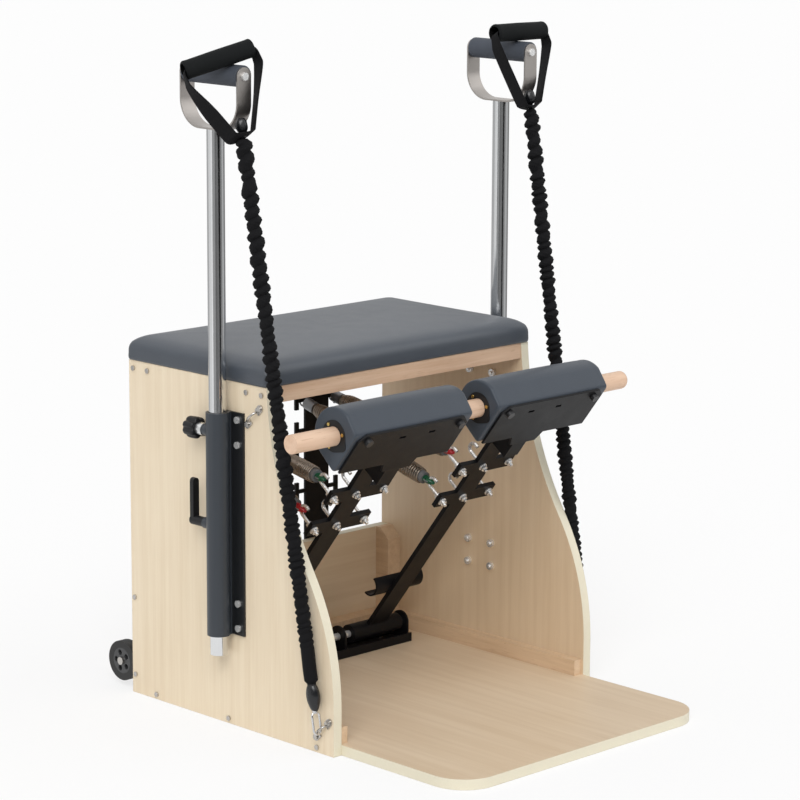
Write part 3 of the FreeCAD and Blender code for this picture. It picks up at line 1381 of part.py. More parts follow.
front_ends = {"left": [], "right": []}
rear_ends = []
for side, sign in arm_sides:
    for wing, column in (("upper", 1), ("lower", -1)):
        x = sign * size("arm_offset") - size("hook_left")
        hook_out = -size("arm_thick") / 2 - size("hook_reach")
        hook_at = leaned_point(x, size(wing + "_wing") + size("hook_radius"), hook_out)
        rack_x = sign * size("arm_offset") - size("rack_shift")
        ring = size("rear_ring_radius")
        wire = size("ring_wire") / 2
        slack = math.sqrt((ring - wire) ** 2 - (size("neck_height") / 2) ** 2)
        tab_at = Vec(rack_x + column * (size("rack_width") + size("neck_length")) / 2,
                     size("board_length") / 2 + size("rack_thick") + size("soft_gap") - slack,
                     size("panel_height") - size("tab_drop"))
        axis = (tab_at - hook_at).normalize()
        flat = axis.cross(Vec(1, 0, 0)).normalize()
        inside = size("hook_radius") - size("hook_dia") / 2 - wire - 2 * size("soft_gap")
        front_at = hook_at + axis * (inside + size("ring_radius"))
        bush = size("spring_bush") / 2
        long = size("spring_bush_length")
        front_face = front_at + axis * size("ring_radius")
        fitting = Part.makeTorus(size("ring_radius"), wire, front_at, flat)
        front_ends[side].append(fitting.fuse(Part.makeCylinder(bush, long, front_face, axis)))
        rear_face = tab_at - axis * (ring + long)
        fitting = Part.makeTorus(ring, wire, tab_at, Vec(1, 0, 0))
        rear_ends.append(fitting.fuse(Part.makeCylinder(bush, long, rear_face, axis)))
        gap = axis * size("soft_gap")
        spring, least = coil(front_face + axis * long + gap, rear_face - gap)
        node("%s_%s_spring" % (side, wing), shaped("%s_%s_coil" % (side, wing), spring))
        print("%s %s spring, least gap to itself %.2f mm" % (side, wing, least))
    node(side + "_spring_front_ends", shaped(side + "_front_ends", Part.makeCompound(front_ends[side])))
node("spring_rear_ends", shaped("rear_fittings", Part.makeCompound(rear_ends)))

doc.recompute()
failed = [piece.Label for piece in doc.Objects if "Invalid" in piece.State or "Error" in piece.State]
empty = [piece.Label for piece in nodes if piece.Shape.isNull() or not piece.Shape.isValid()]
if failed or empty:
    raise RuntimeError("not built: %s, not valid: %s" % (failed, empty))
os.makedirs("parts", exist_ok=True)
for piece in nodes:
    piece.Shape.exportStep("parts/%s.step" % piece.Label)
print("%d nodes, %d solids" % (len(nodes), sum(len(piece.Shape.Solids) for piece in nodes)))
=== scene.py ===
import math
import bpy
import numpy as np
from mathutils import Matrix, Vector


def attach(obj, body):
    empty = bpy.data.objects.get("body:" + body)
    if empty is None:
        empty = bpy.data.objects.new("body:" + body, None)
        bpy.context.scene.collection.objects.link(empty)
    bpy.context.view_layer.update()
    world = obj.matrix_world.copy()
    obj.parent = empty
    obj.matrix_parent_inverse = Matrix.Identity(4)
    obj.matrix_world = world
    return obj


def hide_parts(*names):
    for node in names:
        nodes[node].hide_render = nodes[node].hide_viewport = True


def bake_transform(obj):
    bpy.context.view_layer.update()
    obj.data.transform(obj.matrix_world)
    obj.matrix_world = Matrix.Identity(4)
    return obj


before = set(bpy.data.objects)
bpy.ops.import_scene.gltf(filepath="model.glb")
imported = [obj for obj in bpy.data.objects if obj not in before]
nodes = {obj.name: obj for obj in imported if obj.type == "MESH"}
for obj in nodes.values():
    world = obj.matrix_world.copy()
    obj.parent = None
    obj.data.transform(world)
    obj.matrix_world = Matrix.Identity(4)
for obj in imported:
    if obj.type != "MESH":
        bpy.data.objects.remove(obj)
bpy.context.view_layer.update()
scene = bpy.context.scene
scene.view_settings.view_transform = "Standard"
sides = (("left", -1), ("right", 1))
print("frame loaded:", len(nodes), "nodes")


# Shader sockets that add up like numbers
class Value:
    def __init__(self, tree, socket=None):
        self.tree = tree
        self.socket = socket

    def node(self, kind, settings=None, inputs=None, output=0):
        made = self.tree.nodes.new(kind)
        for name, setting in (settings or {}).items():
            if name == "stops":
                for element, (place, color) in zip(made.color_ramp.elements, setting):
                    element.position = place
                    element.color = tinted(color)
            else:
                setattr(made, name, setting)
        for key, given in (inputs or {}).items():
            if isinstance(given, Value):
                self.tree.links.new(given.socket, made.inputs[key])
            else:
                made.inputs[key].default_value = given
        return Value(self.tree, made.outputs[output])

    def maths(self, operation, first, second=0.0):
        return self.node("ShaderNodeMath", {"operation": operation}, {0: first, 1: second})

    def __add__(self, other):
        return self.maths("ADD", self, other)

    def __sub__(self, other):
        return self.maths("SUBTRACT", self, other)

    def __rsub__(self, other):
        return self.maths("SUBTRACT", other, self)

    def __mul__(self, other):
        return self.maths("MULTIPLY", self, other)

    def __gt__(self, other):
        return self.maths("GREATER_THAN", self, other)

    def __lt__(self, other):
        return self.maths("LESS_THAN", self, other)

    def __abs__(self):
        return self.maths("ABSOLUTE", self)

    __radd__ = __add__
    __rmul__ = __mul__


def tinted(color):
    return (*color, 1.0)


def mixed(base, factor, first, second):
    sockets = [given if isinstance(given, Value) else tinted(given) for given in (first, second)]
    return base.node("ShaderNodeMix", {"data_type": "RGBA"}, {0: factor, 6: sockets[0], 7: sockets[1]}, 2)


def ramped(base, factor, stops, dark, light):
    return base.node("ShaderNodeValToRGB", {"stops": list(zip(stops, (dark, light)))}, {"Fac": factor})


def placeOf(base, stretch=(1, 1, 1)):
    spot = base.node("ShaderNodeTexCoord", output="Object")
    return base.node("ShaderNodeMapping", None, {"Vector": spot, "Scale": stretch})


def axisOf(base, vector, axis):
    return base.node("ShaderNodeSeparateXYZ", None, {0: vector}, axis)


def noise(base, place, scale, detail, roughness=0.55):
    return base.node("ShaderNodeTexNoise", None,
                     {"Vector": place, "Scale": scale, "Detail": detail, "Roughness": roughness})


def bumped(base, height, strength, distance, rounding=0.0):
    inputs = {"Height": height, "Strength": strength, "Distance": distance}
    if rounding:
        inputs["Normal"] = base.node("ShaderNodeBevel", {"samples": 4}, {"Radius": rounding})
    return base.node("ShaderNodeBump", None, inputs)


viewportGrey = (0.5, 0.5, 0.5)


def finish(name, look):
    material = bpy.data.materials.new(name)
    material.use_nodes = True
    material.diffuse_color = tinted(viewportGrey)
    shader = material.node_tree.nodes["Principled BSDF"]
    for key, value in look(Value(material.node_tree)).items():
        if isinstance(value, Value):
            material.node_tree.links.new(value.socket, shader.inputs[key])
        else:
            shader.inputs[key].default_value = value
    return material


# Boards: pale faced plywood with long faint grain and plain lipped edges; the panels' inner faces carry painted
# shade, darker and warmer
boardLook = {
    "panel": {"light": (0.80, 0.685, 0.515), "dark": (0.715, 0.585, 0.415), "grain": (70, 70, 2.2), "face": 0},
    "base": {"light": (0.75, 0.605, 0.44), "dark": (0.66, 0.505, 0.345), "grain": (70, 2.2, 70), "face": 2},
    "back": {"light": (0.74, 0.60, 0.43), "dark": (0.66, 0.51, 0.345), "grain": (2.2, 70, 70), "face": 1},
    "edge": (0.77, 0.72, 0.575), "edgeDark": (0.66, 0.60, 0.45), "edgeLines": 500, "gloss": 0.4,
    "stops": (0.38, 0.66), "finer": 9, "clouds": 3.2, "round": 0.0012,
    # painted shade: inside this x the panels' inner faces are darkened and warmed by these shares
    "inside": 0.2985, "paintedShade": (0.90, 0.83, 0.77),
}


def boardWood(kind):
    part = boardLook[kind]

    def look(base):
        streaks = noise(base, placeOf(base, part["grain"]), 1.0, 7.0, 0.62)
        fine = noise(base, placeOf(base, tuple(boardLook["finer"] * step for step in part["grain"])), 1.0, 3.0)
        cloud = noise(base, placeOf(base), boardLook["clouds"], 2.0)
        grain = streaks * 0.62 + fine * 0.18 + cloud * 0.3
        face = ramped(base, grain, boardLook["stops"], part["dark"], part["light"])
        # painted shade on the panels' inner faces, which face each other, darker and warmer than the outer faces
        if kind == "panel":
            inside = abs(axisOf(base, placeOf(base), 0)) < boardLook["inside"]
            dark, light = (tuple(tone * share for tone, share in zip(boardLook["paintedShade"], part[end]))
                           for end in ("dark", "light"))
            face = mixed(base, inside, face, ramped(base, grain, boardLook["stops"], dark, light))
        normal = base.node("ShaderNodeNewGeometry", output="Normal")
        edge = abs(axisOf(base, normal, part["face"])) < 0.5
        lines = noise(base, placeOf(base, (boardLook["edgeLines"],) * 3), 1.0, 2.0)
        lip = mixed(base, lines * 0.5, boardLook["edge"], boardLook["edgeDark"])
        return {"Base Color": mixed(base, edge, face, lip),
                "Roughness": boardLook["gloss"] + (grain - 0.5) * 0.22,
                "Normal": bumped(base, grain, 0.12, 0.0006, boardLook["round"]), "Specular IOR Level": 0.38}
    return finish(kind + "Wood", look)


# Solid beech: pinkish, with short dark flecks along the grain
beechLook = {
    "beech": {"axis": 0, "light": (0.70, 0.50, 0.355), "dark": (0.58, 0.38, 0.25)},
    "batten": {"axis": 1, "light": (0.74, 0.555, 0.375), "dark": (0.62, 0.44, 0.28)},
    "dowelBeech": {"axis": 0, "light": (0.74, 0.53, 0.385), "dark": (0.64, 0.42, 0.285)},
    "along": 5, "across": 90, "finer": 6, "stops": (0.32, 0.68), "gloss": 0.46, "round": 0.001,
    "fleck": (0.42, 0.25, 0.15), "fleckFrom": 0.66,
}


def beechWood(name):
    part = beechLook[name]
    grain = tuple(beechLook["along" if axis == part["axis"] else "across"] for axis in range(3))

    def look(base):
        streaks = noise(base, placeOf(base, grain), 1.0, 6.0, 0.6)
        short = noise(base, placeOf(base, tuple(beechLook["finer"] * step for step in grain)), 1.0, 2.0)
        flecks = short > beechLook["fleckFrom"]
        face = ramped(base, streaks, beechLook["stops"], part["dark"], part["light"])
        return {"Base Color": mixed(base, flecks * 0.35, face, beechLook["fleck"]),
                "Roughness": beechLook["gloss"] + (streaks - 0.5) * 0.25,
                "Normal": bumped(base, streaks - flecks * 0.3, 0.14, 0.0005, beechLook["round"]),
                "Specular IOR Level": 0.4}
    return finish(name, look)


# Blue-grey leatherette with a fine pebble grain, shinier on the seat
leatherLook = {"light": (0.054, 0.066, 0.084), "dark": (0.037, 0.046, 0.060), "pebble": 760, "pores": 2.4,
               "pull": 26, "gloss": 0.37, "shine": {"seatLeatherette": 0.7, "padLeatherette": 0.3}}


def leatherette(name):
    def look(base):
        place = placeOf(base)
        pebble = base.node("ShaderNodeTexVoronoi", {"feature": "SMOOTH_F1"},
                           {"Vector": place, "Scale": leatherLook["pebble"], "Smoothness": 0.6})
        pull = noise(base, place, leatherLook["pull"], 3.0)
        pores = noise(base, place, leatherLook["pores"] * leatherLook["pebble"], 2.0)
        height = pebble * 0.7 + pores * 0.2 + pull * 1.6
        return {"Base Color": mixed(base, pull * 0.7 + pebble * 0.3, leatherLook["dark"], leatherLook["light"]),
                "Roughness": leatherLook["gloss"] + pebble * 0.12 + (pull - 0.5) * 0.12,
                "Normal": bumped(base, height, 0.22, 0.0005), "Specular IOR Level": leatherLook["shine"][name],
                "Sheen Weight": 0.1, "Sheen Roughness": 0.4}
    return finish(name, look)


# Painted and plated metals, and moulded plastics
coatLooks = {
    "blackCoat": {"light": (0.010, 0.010, 0.011), "dark": (0.005, 0.005, 0.006), "gloss": 0.40,
                  "grain": 1900, "height": 0.2, "bevel": 0.0009, "shine": 0.13},
    "blackPlastic": {"light": (0.014, 0.014, 0.015), "dark": (0.008, 0.008, 0.009), "gloss": 0.44,
                     "grain": 1200, "height": 0.3, "bevel": 0.0008, "shine": 0.28},
    "cuffRubber": {"light": (0.010, 0.011, 0.013), "dark": (0.004, 0.004, 0.005), "gloss": 0.24,
                   "grain": 420, "height": 0.2, "bevel": 0.0},
    "gripRubber": {"light": (0.075, 0.085, 0.106), "dark": (0.05, 0.058, 0.074), "gloss": 0.62,
                   "grain": 900, "height": 0.35, "bevel": 0.001, "shine": 0.28},
    "zinc": {"light": (0.92, 0.92, 0.91), "dark": (0.76, 0.76, 0.76), "metal": 0.66, "gloss": 0.25,
             "grain": 420, "height": 0.03, "bevel": 0.0007},
    "screwSteel": {"light": (0.60, 0.58, 0.55), "dark": (0.40, 0.38, 0.36), "metal": 1.0, "gloss": 0.2,
                   "grain": 420, "height": 0.03, "bevel": 0.0007},
    "springSteel": {"light": (0.40, 0.345, 0.29), "dark": (0.20, 0.165, 0.135), "metal": 0.9, "gloss": 0.28,
                    "grain": 260, "height": 0.12, "bevel": 0.0},
    "fittingGrey": {"light": (0.25, 0.26, 0.275), "dark": (0.17, 0.175, 0.185), "metal": 0.35, "gloss": 0.4,
                    "grain": 700, "height": 0.15, "bevel": 0.0007},
    "redTag": {"light": (0.50, 0.020, 0.028), "dark": (0.33, 0.012, 0.018), "gloss": 0.3,
               "grain": 500, "height": 0.3, "bevel": 0.0006},
    "greenTag": {"light": (0.004, 0.115, 0.050), "dark": (0.003, 0.065, 0.028), "gloss": 0.3,
                 "grain": 500, "height": 0.3, "bevel": 0.0006},
}


def coat(name):
    part = coatLooks[name]

    def look(base):
        place = placeOf(base)
        speck = noise(base, place, part["grain"], 2.0)
        worn = noise(base, place, 34.0, 4.0, 0.65)
        color = mixed(base, worn * 0.75 + speck * 0.25, part["dark"], part["light"])
        return {"Base Color": color, "Metallic": part.get("metal", 0.0),
                "Roughness": part["gloss"] + (worn - 0.5) * 0.22 + (speck - 0.5) * 0.1,
                "Normal": bumped(base, speck, part["height"], 0.00025, part["bevel"]),
                "Specular IOR Level": part.get("shine", 0.5)}
    return finish(name, look)


# Bright tube and strip: drawn lines along one axis, faint smears in the polish
brightLooks = {
    "chrome": {"color": (0.80, 0.81, 0.82), "lines": (900, 900, 12), "gloss": 0.09, "height": 0.03},
    "stainless": {"color": (0.47, 0.44, 0.415), "lines": (24, 900, 900), "gloss": 0.40, "height": 0.03},
}
brightDull = 0.82


def bright(name):
    part = brightLooks[name]

    def look(base):
        lines = noise(base, placeOf(base, part["lines"]), 1.0, 3.0)
        smear = noise(base, placeOf(base), 22.0, 3.0)
        dull = tuple(brightDull * share for share in part["color"])
        color = mixed(base, smear * 0.5 + lines * 0.5, dull, part["color"])
        return {"Base Color": color, "Metallic": 1.0,
                "Roughness": part["gloss"] + lines * 0.08 + (smear - 0.5) * 0.08,
                "Normal": bumped(base, lines, part["height"], 0.0002, 0.0006)}
    return finish(name, look)


# Fabrics: gathered cord cover, woven webbing and closed-cell foam
clothLooks = {
    "cordCover": {"light": (0.009, 0.009, 0.010), "dark": (0.003, 0.003, 0.004), "thread": 1300, "height": 0.5},
    "webbing": {"light": (0.010, 0.010, 0.011), "dark": (0.003, 0.003, 0.004), "thread": 820, "height": 0.7},
    "foam": {"light": (0.010, 0.011, 0.012), "dark": (0.004, 0.005, 0.005), "thread": 1500, "height": 0.45},
}


def cloth(name):
    part = clothLooks[name]

    def look(base):
        place = placeOf(base)
        first = axisOf(base, place, 0) + axisOf(base, place, 1)
        second = axisOf(base, place, 2)
        pitch = part["thread"] * 2 * math.pi / 2.2
        over = base.maths("SINE", first * pitch) * base.maths("SINE", second * pitch)
        fuzz = noise(base, place, part["thread"], 3.0, 0.7)
        fade = noise(base, place, 40.0, 3.0)
        weave = over * 0.25 + fuzz * 0.6 + 0.2
        color = mixed(base, weave * 0.6 + fade * 0.3, part["dark"], part["light"])
        return {"Base Color": color, "Roughness": 0.78 + (fuzz - 0.5) * 0.2,
                "Normal": bumped(base, weave, part["height"], 0.0004), "Specular IOR Level": 0.14,
                "Sheen Weight": 0.008, "Sheen Roughness": 0.5}
    return finish(name, look)


# Two finishes in one piece, told apart by where they lie; each pair of colours is a dark and a light
wheelPaint = {"height": 0.0455, "back": 0.445, "hubRadius": 0.0231,
              "tyre": ((0.010, 0.010, 0.010), (0.024, 0.024, 0.024)),
              "hub": ((0.030, 0.031, 0.033), (0.055, 0.056, 0.058))}


def wheelLook(base):
    spot = placeOf(base)
    high = axisOf(base, spot, 2) - wheelPaint["height"]
    deep = axisOf(base, spot, 1) - wheelPaint["back"]
    hub = base.maths("SQRT", high * high + deep * deep) < wheelPaint["hubRadius"]
    speck = noise(base, spot, 900.0, 2.0)
    worn = noise(base, spot, 60.0, 3.0)
    color = mixed(base, hub, mixed(base, worn, *wheelPaint["tyre"]), mixed(base, worn, *wheelPaint["hub"]))
    return {"Base Color": color, "Roughness": 0.62 - hub * 0.24 + (worn - 0.5) * 0.2,
            "Normal": bumped(base, speck, 0.25, 0.0003, 0.0008)}


sleevePaint = {"flangeX": 0.3205, "streaks": (60, 60, 1.2),
               "tube": ((0.028, 0.034, 0.042), (0.048, 0.056, 0.068)),
               "flange": ((0.008, 0.009, 0.010), (0.015, 0.016, 0.018))}


def sleeveLook(base):
    spot = placeOf(base)
    flange = abs(axisOf(base, spot, 0)) < sleevePaint["flangeX"]
    speck = noise(base, spot, 1500.0, 2.0)
    streaks = noise(base, placeOf(base, sleevePaint["streaks"]), 1.0, 3.0)
    tube = mixed(base, streaks, *sleevePaint["tube"])
    return {"Base Color": mixed(base, flange, tube, mixed(base, speck, *sleevePaint["flange"])),
            "Roughness": 0.34 + (streaks - 0.5) * 0.12 + (speck - 0.5) * 0.08,
            "Normal": bumped(base, speck, 0.12, 0.00025, 0.0009), "Specular IOR Level": 0.4}


knobPaint = {"neckY": 0.1876, "grip": ((0.008, 0.008, 0.009), (0.016, 0.016, 0.017)),
             "neck": ((0.66, 0.67, 0.67), (0.80, 0.80, 0.80))}


def knobLook(base):
    # a turned steel neck behind a moulded grip
    spot = placeOf(base)
    neck = axisOf(base, spot, 1) < knobPaint["neckY"]
    speck = noise(base, spot, 1200.0, 2.0)
    color = mixed(base, neck, mixed(base, speck, *knobPaint["grip"]), mixed(base, speck, *knobPaint["neck"]))
    return {"Base Color": color, "Metallic": neck, "Roughness": 0.4 - neck * 0.12 + (speck - 0.5) * 0.12,
            "Normal": bumped(base, speck, 0.2, 0.0002), "Specular IOR Level": 0.3}


snapPaint = {"ferruleZ": 0.0857, "hook": ((0.55, 0.55, 0.56), (0.76, 0.76, 0.77)),
             "ferrule": ((0.006, 0.006, 0.007), (0.016, 0.016, 0.018))}


def snapLook(base):
    spot = placeOf(base)
    ferrule = axisOf(base, spot, 2) > snapPaint["ferruleZ"]
    fuzz = noise(base, spot, 1400.0, 3.0)
    worn = noise(base, spot, 40.0, 3.0)
    hook = mixed(base, worn, *snapPaint["hook"])
    return {"Base Color": mixed(base, ferrule, hook, mixed(base, fuzz, *snapPaint["ferrule"])),
            "Metallic": 1 - ferrule, "Roughness": 0.2 + ferrule * 0.5 + (worn - 0.5) * 0.15,
            "Normal": bumped(base, fuzz, 0.3, 0.0003)}


# Pedals: their pivot and lean, and the pads' ends and section
pedal = {"pivot": (0.2775, 0.052), "rise": math.radians(52.1), "arm": 0.154, "reach": 0.623, "ahead": 0.003,
         "near": 0.030, "far": 0.306, "radius": 0.048, "foot": 0.0357, "flare": 0.003, "draft": 0.011,
         "bore": 0.0168}
pedalLean, pedalFlat = math.sin(pedal["rise"]), math.cos(pedal["rise"])


def leaned(x, up, out):
    # a point on the pedal, by its way up the arm and out of it
    return Vector((x, pedal["pivot"][0] - pedalFlat * up - pedalLean * out,
                   pedal["pivot"][1] + pedalLean * up - pedalFlat * out))


pinPaint = {"plateOut": 0.0395, "eyelet": ((0.50, 0.34, 0.10), (0.68, 0.49, 0.18)),
            "knob": ((0.010, 0.010, 0.011), (0.022, 0.022, 0.024))}


def pinLook(base):
    # brass eyelets in the flanges, black knobs under the plate
    spot = placeOf(base)
    back, low = pedal["pivot"][0] - axisOf(base, spot, 1), pedal["pivot"][1] - axisOf(base, spot, 2)
    under = back * pedalLean + low * pedalFlat > pinPaint["plateOut"]
    speck = noise(base, spot, 900.0, 2.0)
    color = mixed(base, under, mixed(base, speck, *pinPaint["eyelet"]), mixed(base, speck, *pinPaint["knob"]))
    return {"Base Color": color, "Metallic": 1 - under, "Roughness": 0.24 + under * 0.16 + (speck - 0.5) * 0.1,
            "Normal": bumped(base, speck, 0.15, 0.0002, 0.0006)}


finishes = {kind: boardWood(kind) for kind in ("panel", "base", "back")}
finishes.update({"beech": beechWood("beech"), "batten": beechWood("batten"), "dowel": beechWood("dowelBeech")})
finishes.update({"leather": leatherette("seatLeatherette"), "padLeather": leatherette("padLeatherette")})
finishes.update({name: coat(name) for name in coatLooks})
finishes.update({name: bright(name) for name in brightLooks})
finishes.update({name: cloth(name) for name in clothLooks})
finishes["wheel"] = finish("wheelRubber", wheelLook)
finishes["snap"] = finish("snapHook", snapLook)
finishes["sleeve"] = finish("sleevePaint", sleeveLook)
finishes["knob"] = finish("pullKnob", knobLook)
finishes["pins"] = finish("pedalPins", pinLook)
print("finishes made:", len(finishes))

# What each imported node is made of; a name that starts with _ is on both sides
nodeFinish = {
    "panel": ("_side_panel",),
    "base": ("base_board", "seat_board"),
    "back": ("back_board",),
    "beech": ("front_seat_rail", "rear_seat_rail"),
    "batten": ("battens",),
    "dowel": ("dowel",),
    "screwSteel": ("frame_screws", "pad_eyes"),
    "zinc": ("sleeve_bolts", "_grip_screws", "_hook_bolts", "pivot_axle"),
    "stainless": ("_d_bracket",),
    "sleeve": ("_post_sleeve",),
    "blackPlastic": ("sleeve_bushes", "_clamp_lever", "_pedal_flanges"),
    "blackCoat": ("wheel_brackets", "pivot_bracket", "spring_racks", "_pedal_arm", "_pedal_plate"),
    "gripRubber": ("_d_grip",),
    "chrome": ("_post_tube",),
    "fittingGrey": ("spring_rear_ends", "_spring_front_ends"),
    "wheel": ("_wheel",),
    "snap": ("cord_snap_hooks",),
    "pins": ("_pedal_screws",),
}
for name, members in nodeFinish.items():
    for member in members:
        for begin in ("left", "right") if member.startswith("_") else ("",):
            materials = nodes[begin + member].data.materials
            materials.clear()
            materials.append(finishes[name])
print("nodes dressed")


# Meshes lofted through rings of points
def loft(name, rings, finishName, closed=False):
    count, total = len(rings[0]), len(rings)
    points = [point for ring in rings for point in ring]
    faces = []
    for row in range(total if closed else total - 1):
        first, second = row * count, (row + 1) % total * count
        for step in range(count):
            after = (step + 1) % count
            faces.append((first + step, first + after, second + after, second + step))
    if not closed:
        faces.append(tuple(reversed(range(count))))
        faces.append(tuple(range((total - 1) * count, total * count)))
    mesh = bpy.data.meshes.new(name)
    mesh.from_pydata([tuple(point) for point in points], [], faces)
    mesh.validate()
    mesh.update()
    mesh.shade_smooth()
    mesh.materials.append(finishes[finishName])
    made = bpy.data.objects.new(name, mesh)
    scene.collection.objects.link(made)
    return made


def outwards(piece):
    # turns the faces outside
    mesh = piece.data
    volume = 0.0
    for face in mesh.polygons:
        corners = [mesh.vertices[index].co for index in face.vertices]
        for second, third in zip(corners[1:], corners[2:]):
            volume += corners[0].dot(second.cross(third))
    if volume < 0:
        mesh.flip_normals()
    return piece


def fullTurn(count, shift=0):
    return [2 * math.pi * (step + shift) / count for step in range(count)]


def ovalRing(center, first, second, wide, thick, count):
    return [center + first * (wide * math.cos(angle)) + second * (thick * math.sin(angle))
            for angle in fullTurn(count)]


def clamped(value):
    return max(0.0, min(1.0, value))


# Seat cushion: crowned, drawn in along its sides, soft corners and a few pulled creases
cushion = {"halfX": 0.319, "halfY": 0.1825, "middleY": 0.2235, "bottom": 0.6003, "corner": 0.012,
           "leastCorner": 0.05, "bow": 0.0018, "arcSteps": 12, "sideSteps": 34, "room": 0.0117,
           "roomTop": 0.6126, "roomIn": 0.06, "lip": 0.0006,
           "crease": 0.0004, "creases": 11, "creaseLean": 40, "creaseFrom": 0.05,
           "creaseMiddle": 0.02, "creaseSpread": 0.0011, "creaseRise": 0.01, "creaseInset": 0.02,
           "rows": ((0.0032, 0.0), (0.0015, 0.0005), (0.0005, 0.0016), (0.0001, 0.0034), (0.0, 0.007),
                    (0.0003, 0.0122), (0.0004, 0.0177), (0.0009, 0.0222), (0.002, 0.0257), (0.0034, 0.0288),
                    (0.005, 0.0312), (0.008, 0.0337), (0.0105, 0.0357), (0.014, 0.0377), (0.019, 0.04),
                    (0.024, 0.0417), (0.034, 0.0437), (0.046, 0.0452), (0.062, 0.0467), (0.078, 0.0477),
                    (0.098, 0.0486), (0.12, 0.0494), (0.15, 0.0497))}


def softRectangle(halfX, halfY, corner, bow, height):
    corners = [(signX * (halfX - corner), signY * (halfY - corner))
               for signX, signY in ((1, 1), (-1, 1), (-1, -1), (1, -1))]
    ring = []
    for index, (x, y) in enumerate(corners):
        start = index * math.pi / 2
        for step in range(cushion["arcSteps"]):
            turn = start + math.pi / 2 * step / cushion["arcSteps"]
            ring.append([x + corner * math.cos(turn), y + corner * math.sin(turn), height])
        outX, outY = math.cos(start + math.pi / 2), math.sin(start + math.pi / 2)
        nextX, nextY = corners[(index + 1) % len(corners)]
        for step in range(cushion["sideSteps"]):
            share = step / cushion["sideSteps"]
            out = corner - bow * 4 * share * (1 - share)
            ring.append([x + (nextX - x) * share + outX * out, y + (nextY - y) * share + outY * out, height])
    return ring


def cushionRows():
    # up the room for the seat board first, then round the outside to the top
    room, top, low = cushion["room"], cushion["roomTop"], cushion["bottom"]
    rows = [(room + cushion["roomIn"], top), (room, top), (room, low + cushion["lip"])]
    return rows + [(inset, low + rise) for inset, rise in cushion["rows"]]


def creasePush(x, y, inset, height):
    # creases fan out of the corners where the cover is folded under
    fromX, fromY = abs(x) - cushion["halfX"], abs(y) - cushion["halfY"]
    slant = math.atan2(fromY + cushion["creaseFrom"], fromX + cushion["creaseFrom"])
    away = (fromX + cushion["creaseMiddle"]) ** 2 + (fromY + cushion["creaseMiddle"]) ** 2
    near = math.exp(-away / cushion["creaseSpread"])
    rise = clamped((height - cushion["bottom"]) / cushion["creaseRise"])
    side = max(0.0, 1 - inset / cushion["creaseInset"])
    wave = math.sin(cushion["creases"] * slant + cushion["creaseLean"] * height)
    return cushion["crease"] * near * rise * side * wave


def makeCushion():
    rings = []
    for inset, height in cushionRows():
        narrow = max(cushion["leastCorner"], (cushion["halfY"] - inset) / cushion["halfY"])
        ring = softRectangle(cushion["halfX"] - inset, cushion["halfY"] - inset, cushion["corner"] * narrow,
                             cushion["bow"] * narrow, height)
        for point in ring:
            push = 1 + creasePush(point[0], point[1], inset, height) / math.hypot(point[0], point[1])
            point[0] *= push
            point[1] = point[1] * push + cushion["middleY"]
        rings.append(ring)
    return outwards(loft("seatCushion", rings, "leather"))


seatCushion = makeCushion()
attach(seatCushion, "frame")
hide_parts("seat_cushion")
print("cushion made")


# Pedal pads: half round over the dowel, flat on the plate, with a tight edge round both ends
padLook = {"turns": 144, "square": 17, "flat": 4, "swell": 0.0011, "cap": 0.0013, "dish": 0.0006,
           "capShares": (0.75, 0.45, 0.12, 0.0),
           "rows": ((0.0, 0.0036), (0.0003, 0.0022), (0.001, 0.0011), (0.0022, 0.0004), (0.0038, 0.0),
                    (0.0062, -0.0001), (0.0105, 0.0001), (0.018, -0.0002), (0.05, -0.0007))}


def padReach(turn):
    # distance from the dowel's axis to the pad's skin
    across, out = math.cos(turn), math.sin(turn)
    if out <= 0:
        return pedal["radius"]
    power = padLook["square"]
    slope = (pedal["draft"] if across > 0 else -pedal["flare"]) / pedal["foot"]
    side = max(0.0, abs(across) + slope * out) / pedal["radius"]
    return (side ** power + (out / pedal["foot"]) ** power) ** (-1 / power)


def skinReach(turn, inset):
    # the flat underside stays against the plate
    flatness = max(0.0, math.sin(turn)) ** padLook["flat"]
    return padReach(turn) - inset * (1 - flatness) - max(inset, 0.0) * flatness


def capReach(turn, share):
    skin = padReach(turn) - padLook["rows"][0][1]
    return pedal["bore"] + (skin - pedal["bore"]) * share


def padRing(x, reachOf, given):
    ring = []
    for turn in fullTurn(padLook["turns"]):
        reach = reachOf(turn, given)
        ring.append(leaned(x, pedal["reach"] + reach * math.cos(turn), pedal["ahead"] + reach * math.sin(turn)))
    return ring


def makePad(side, sign):
    near, far = pedal["near"] + padLook["cap"], pedal["far"] - padLook["cap"]
    places = [(near + step, inset) for step, inset in padLook["rows"]]
    places += [((near + far) / 2, -padLook["swell"])]
    places += [(far - step, inset) for step, inset in reversed(padLook["rows"])]
    rings = [padRing(sign * x, skinReach, inset) for x, inset in places]
    for x, inward, shares in ((far, -1, padLook["capShares"]), (near, 1, padLook["capShares"][::-1])):
        for share in shares:
            dish = padLook["dish"] * math.sin(math.pi * share)
            rings.append(padRing(sign * (x - inward * dish), capReach, share))
    pad = outwards(loft(side + "PedalPad", rings, "padLeather", closed=True))
    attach(pad, side + "_pedal")
    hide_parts(side + "_pedal_pad")


for side, sign in sides:
    makePad(side, sign)
print("pads made")


